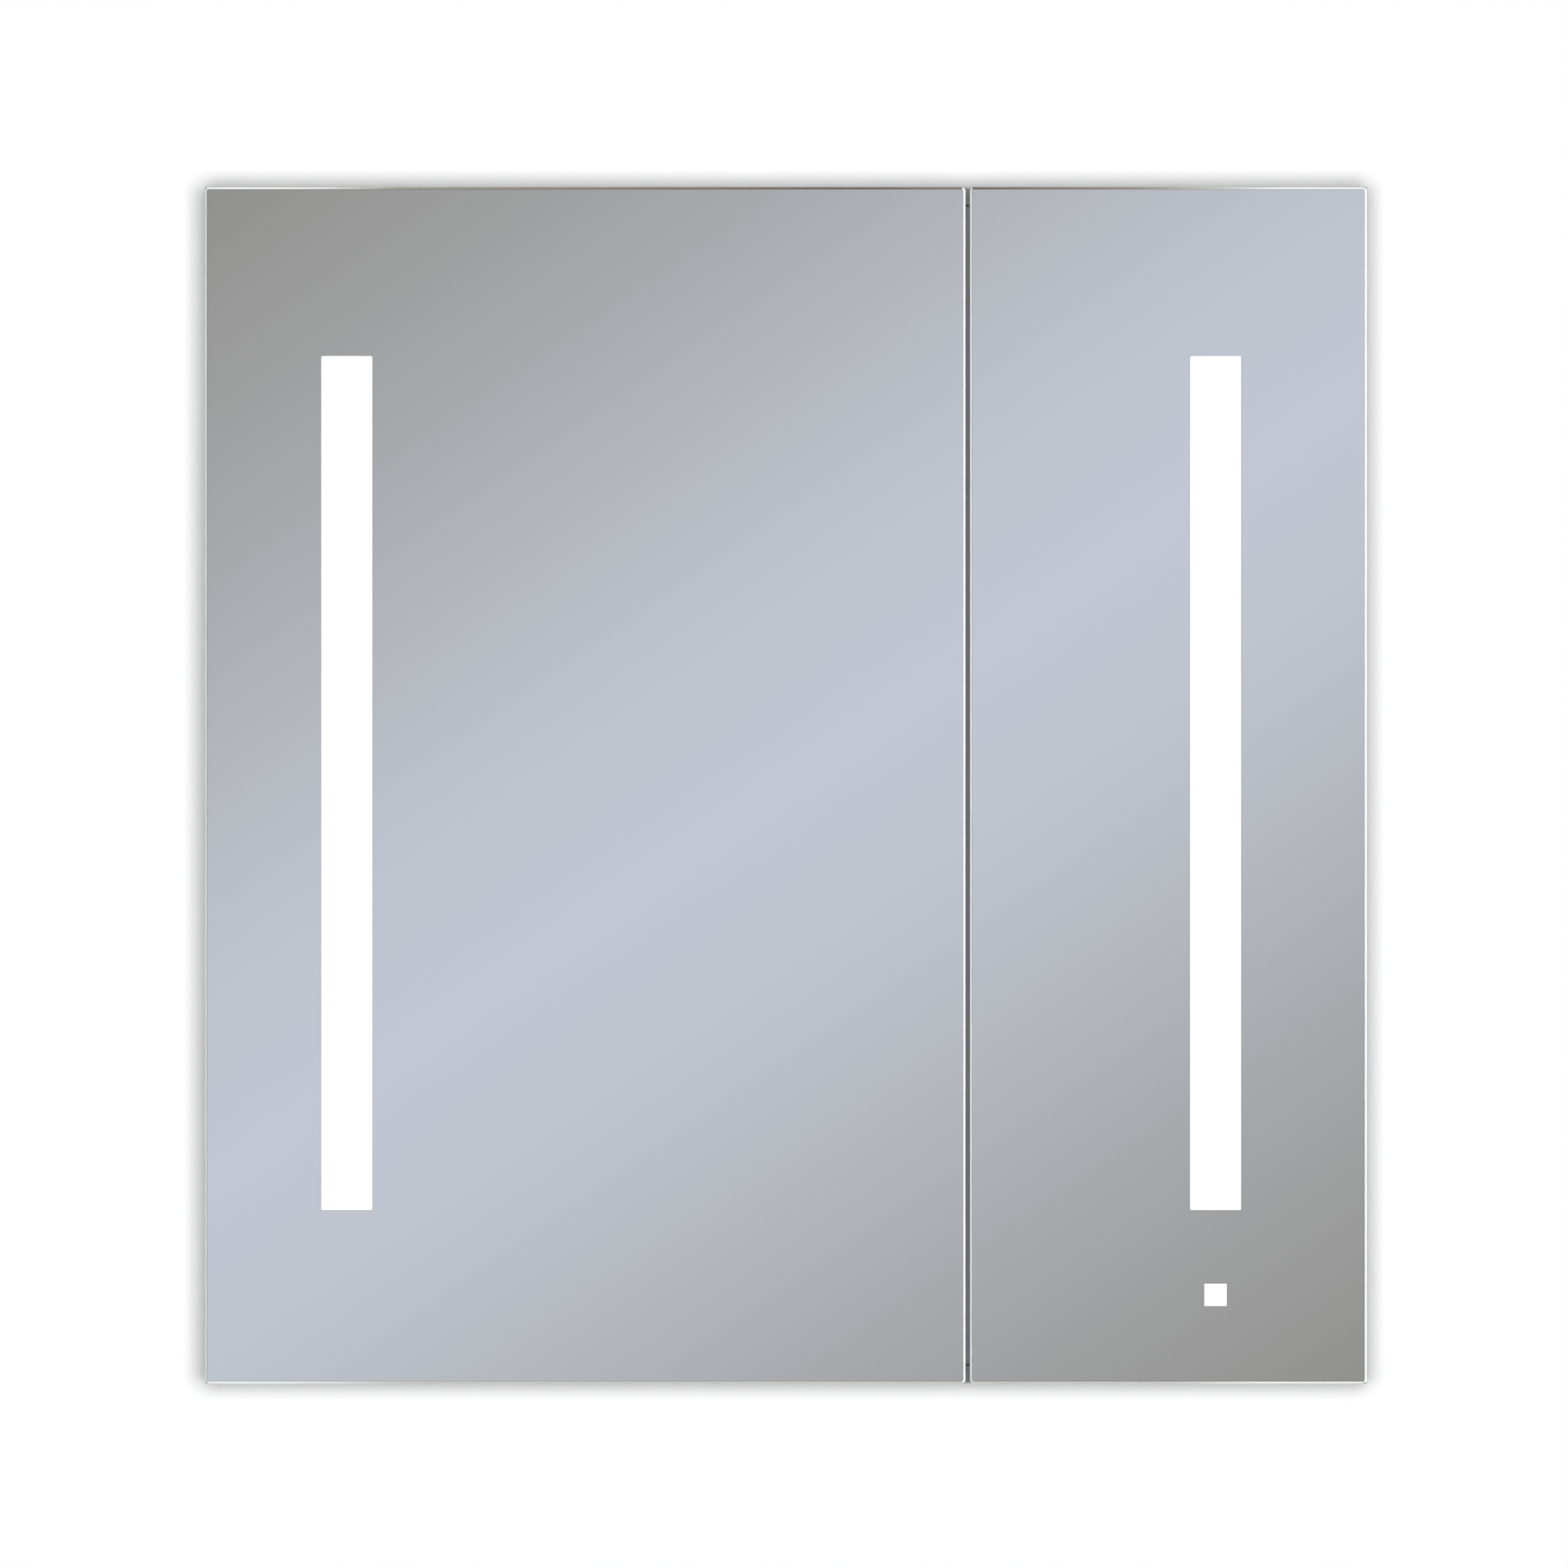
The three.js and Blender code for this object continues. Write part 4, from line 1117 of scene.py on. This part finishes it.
for name, side in (("left", -1), ("right", 1)):
    route = smooth_route([lead_point(side, point) for point in LEAD_ROUTE])
    bm = bmesh.new()
    ribbed_tube(bm, route)
    lead = finish_mesh(bm, f"{name}_door_conduit", [rubber])
    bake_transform(lead)
    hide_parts(f"{name}_door_lead")
    length = sum((b - a).length for a, b in zip(route, route[1:]))
    print(f"{lead.name}: {length / MM:.0f} mm")

# %% Grommets
GROMMET = [(2.1, 0.05), (4.6, 0.05), (4.6, 0.8), (3.2, 1.1), (2.7, 3.2), (2.1, 3.3)]
for name, side in (("left", -1), ("right", 1)):
    bm = bmesh.new()
    start_v, start_dz = LEAD_ROUTE[0][1:]
    at_side = lead_point(side, (0, start_v, start_dz))
    spin(bm, GROMMET, standing(at_side, (-side, 0, 0)), closed=True)
    fitting(bm, f"{name}_side_grommet", "cabinet", [rubber])
    bm = bmesh.new()
    end_u, _, end_dz = LEAD_ROUTE[-1]
    at_stile = lead_point(side, (end_u, 0, end_dz))
    at_stile.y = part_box(f"{name}_hinge_stile")[1].y
    spin(bm, GROMMET, standing(at_stile, TOWARDS_WALL), closed=True)
    piece = fitting(bm, f"{name}_door_grommet", f"{name}_door", [rubber])
    print(piece.name)

# %% [markdown]
# ## Behind the windows
# The LED strip carries a chip every twelve millimetres: a white case with a yellow phosphor well.
# The touch board carries its chip, a few small parts and a socket for its wires. They can only be
# seen with the door apart, so they are plain, but they are all there.

# %% LED chips and the touch board's parts
CHIP_PITCH = 12 * MM
CHIP_HALF = (1.75 * MM, 1.4 * MM)
CHIP_HEIGHT = 0.7 * MM
LENS_BOTTOM = CHIP_HEIGHT / MM - 0.1
LENS_TOP = CHIP_HEIGHT / MM + 0.06
LENS = [(0, LENS_BOTTOM), (1.0, LENS_BOTTOM), (1.0, LENS_TOP), (0, LENS_TOP)]
EDGE = 0.15 * MM


def component(bm, place, half, height, slot=0):
    """A small part with a chamfered top, standing on a board."""
    low = (-half[0], -half[1])
    outlines = [(rounded_outline(low, half, 2 * EDGE, 2), level) for level in (0, height - EDGE)]
    outlines.append((rounded_outline(*inset(low, half, EDGE), EDGE, 2), height))
    stacked(bm, outlines, place, (slot, slot))


for side in ("left", "right"):
    low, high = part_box(f"{side}_led_strip")
    count = int((high.z - low.z) / CHIP_PITCH)
    bm = bmesh.new()
    for i in range(count):
        z = (low.z + high.z) / 2 + (i - (count - 1) / 2) * CHIP_PITCH
        place = standing(((low.x + high.x) / 2, low.y, z), TOWARDS_ROOM)
        component(bm, place, CHIP_HALF, CHIP_HEIGHT)
        spin(bm, LENS, place, sides=10, slot=1)
    finishes = [white_resist, phosphor]
    chips = fitting(bm, f"{side}_led_chips", f"{side}_door", finishes)
    print(chips.name, count)

low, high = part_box("touch_sensor_board")
parts_on_board = {  # place from the board's middle, half its size, height and finish; millimetres
    "controller": ((-3, 2), (3.5, 3.5), 1.2, 0),
    "capacitor": ((7, 8), (1.5, 1.0), 0.9, 1),
    "resistor": ((7, 4), (1.2, 0.8), 0.6, 0),
    "socket": ((2, -10), (6, 2.4), 3.5, 1),
}
bm = bmesh.new()
board_middle = Vector(((low.x + high.x) / 2, high.y, (low.z + high.z) / 2))
for (dx, dz), (half_x, half_z), height, slot in parts_on_board.values():
    place = standing(board_middle + Vector((dx, 0, dz)) * MM, TOWARDS_WALL)
    component(bm, place, (half_x * MM, half_z * MM), height * MM, slot)
parts = fitting(bm, "touch_board_parts", "right_door", [rubber, white_abs])
print(parts.name, len(parts_on_board))
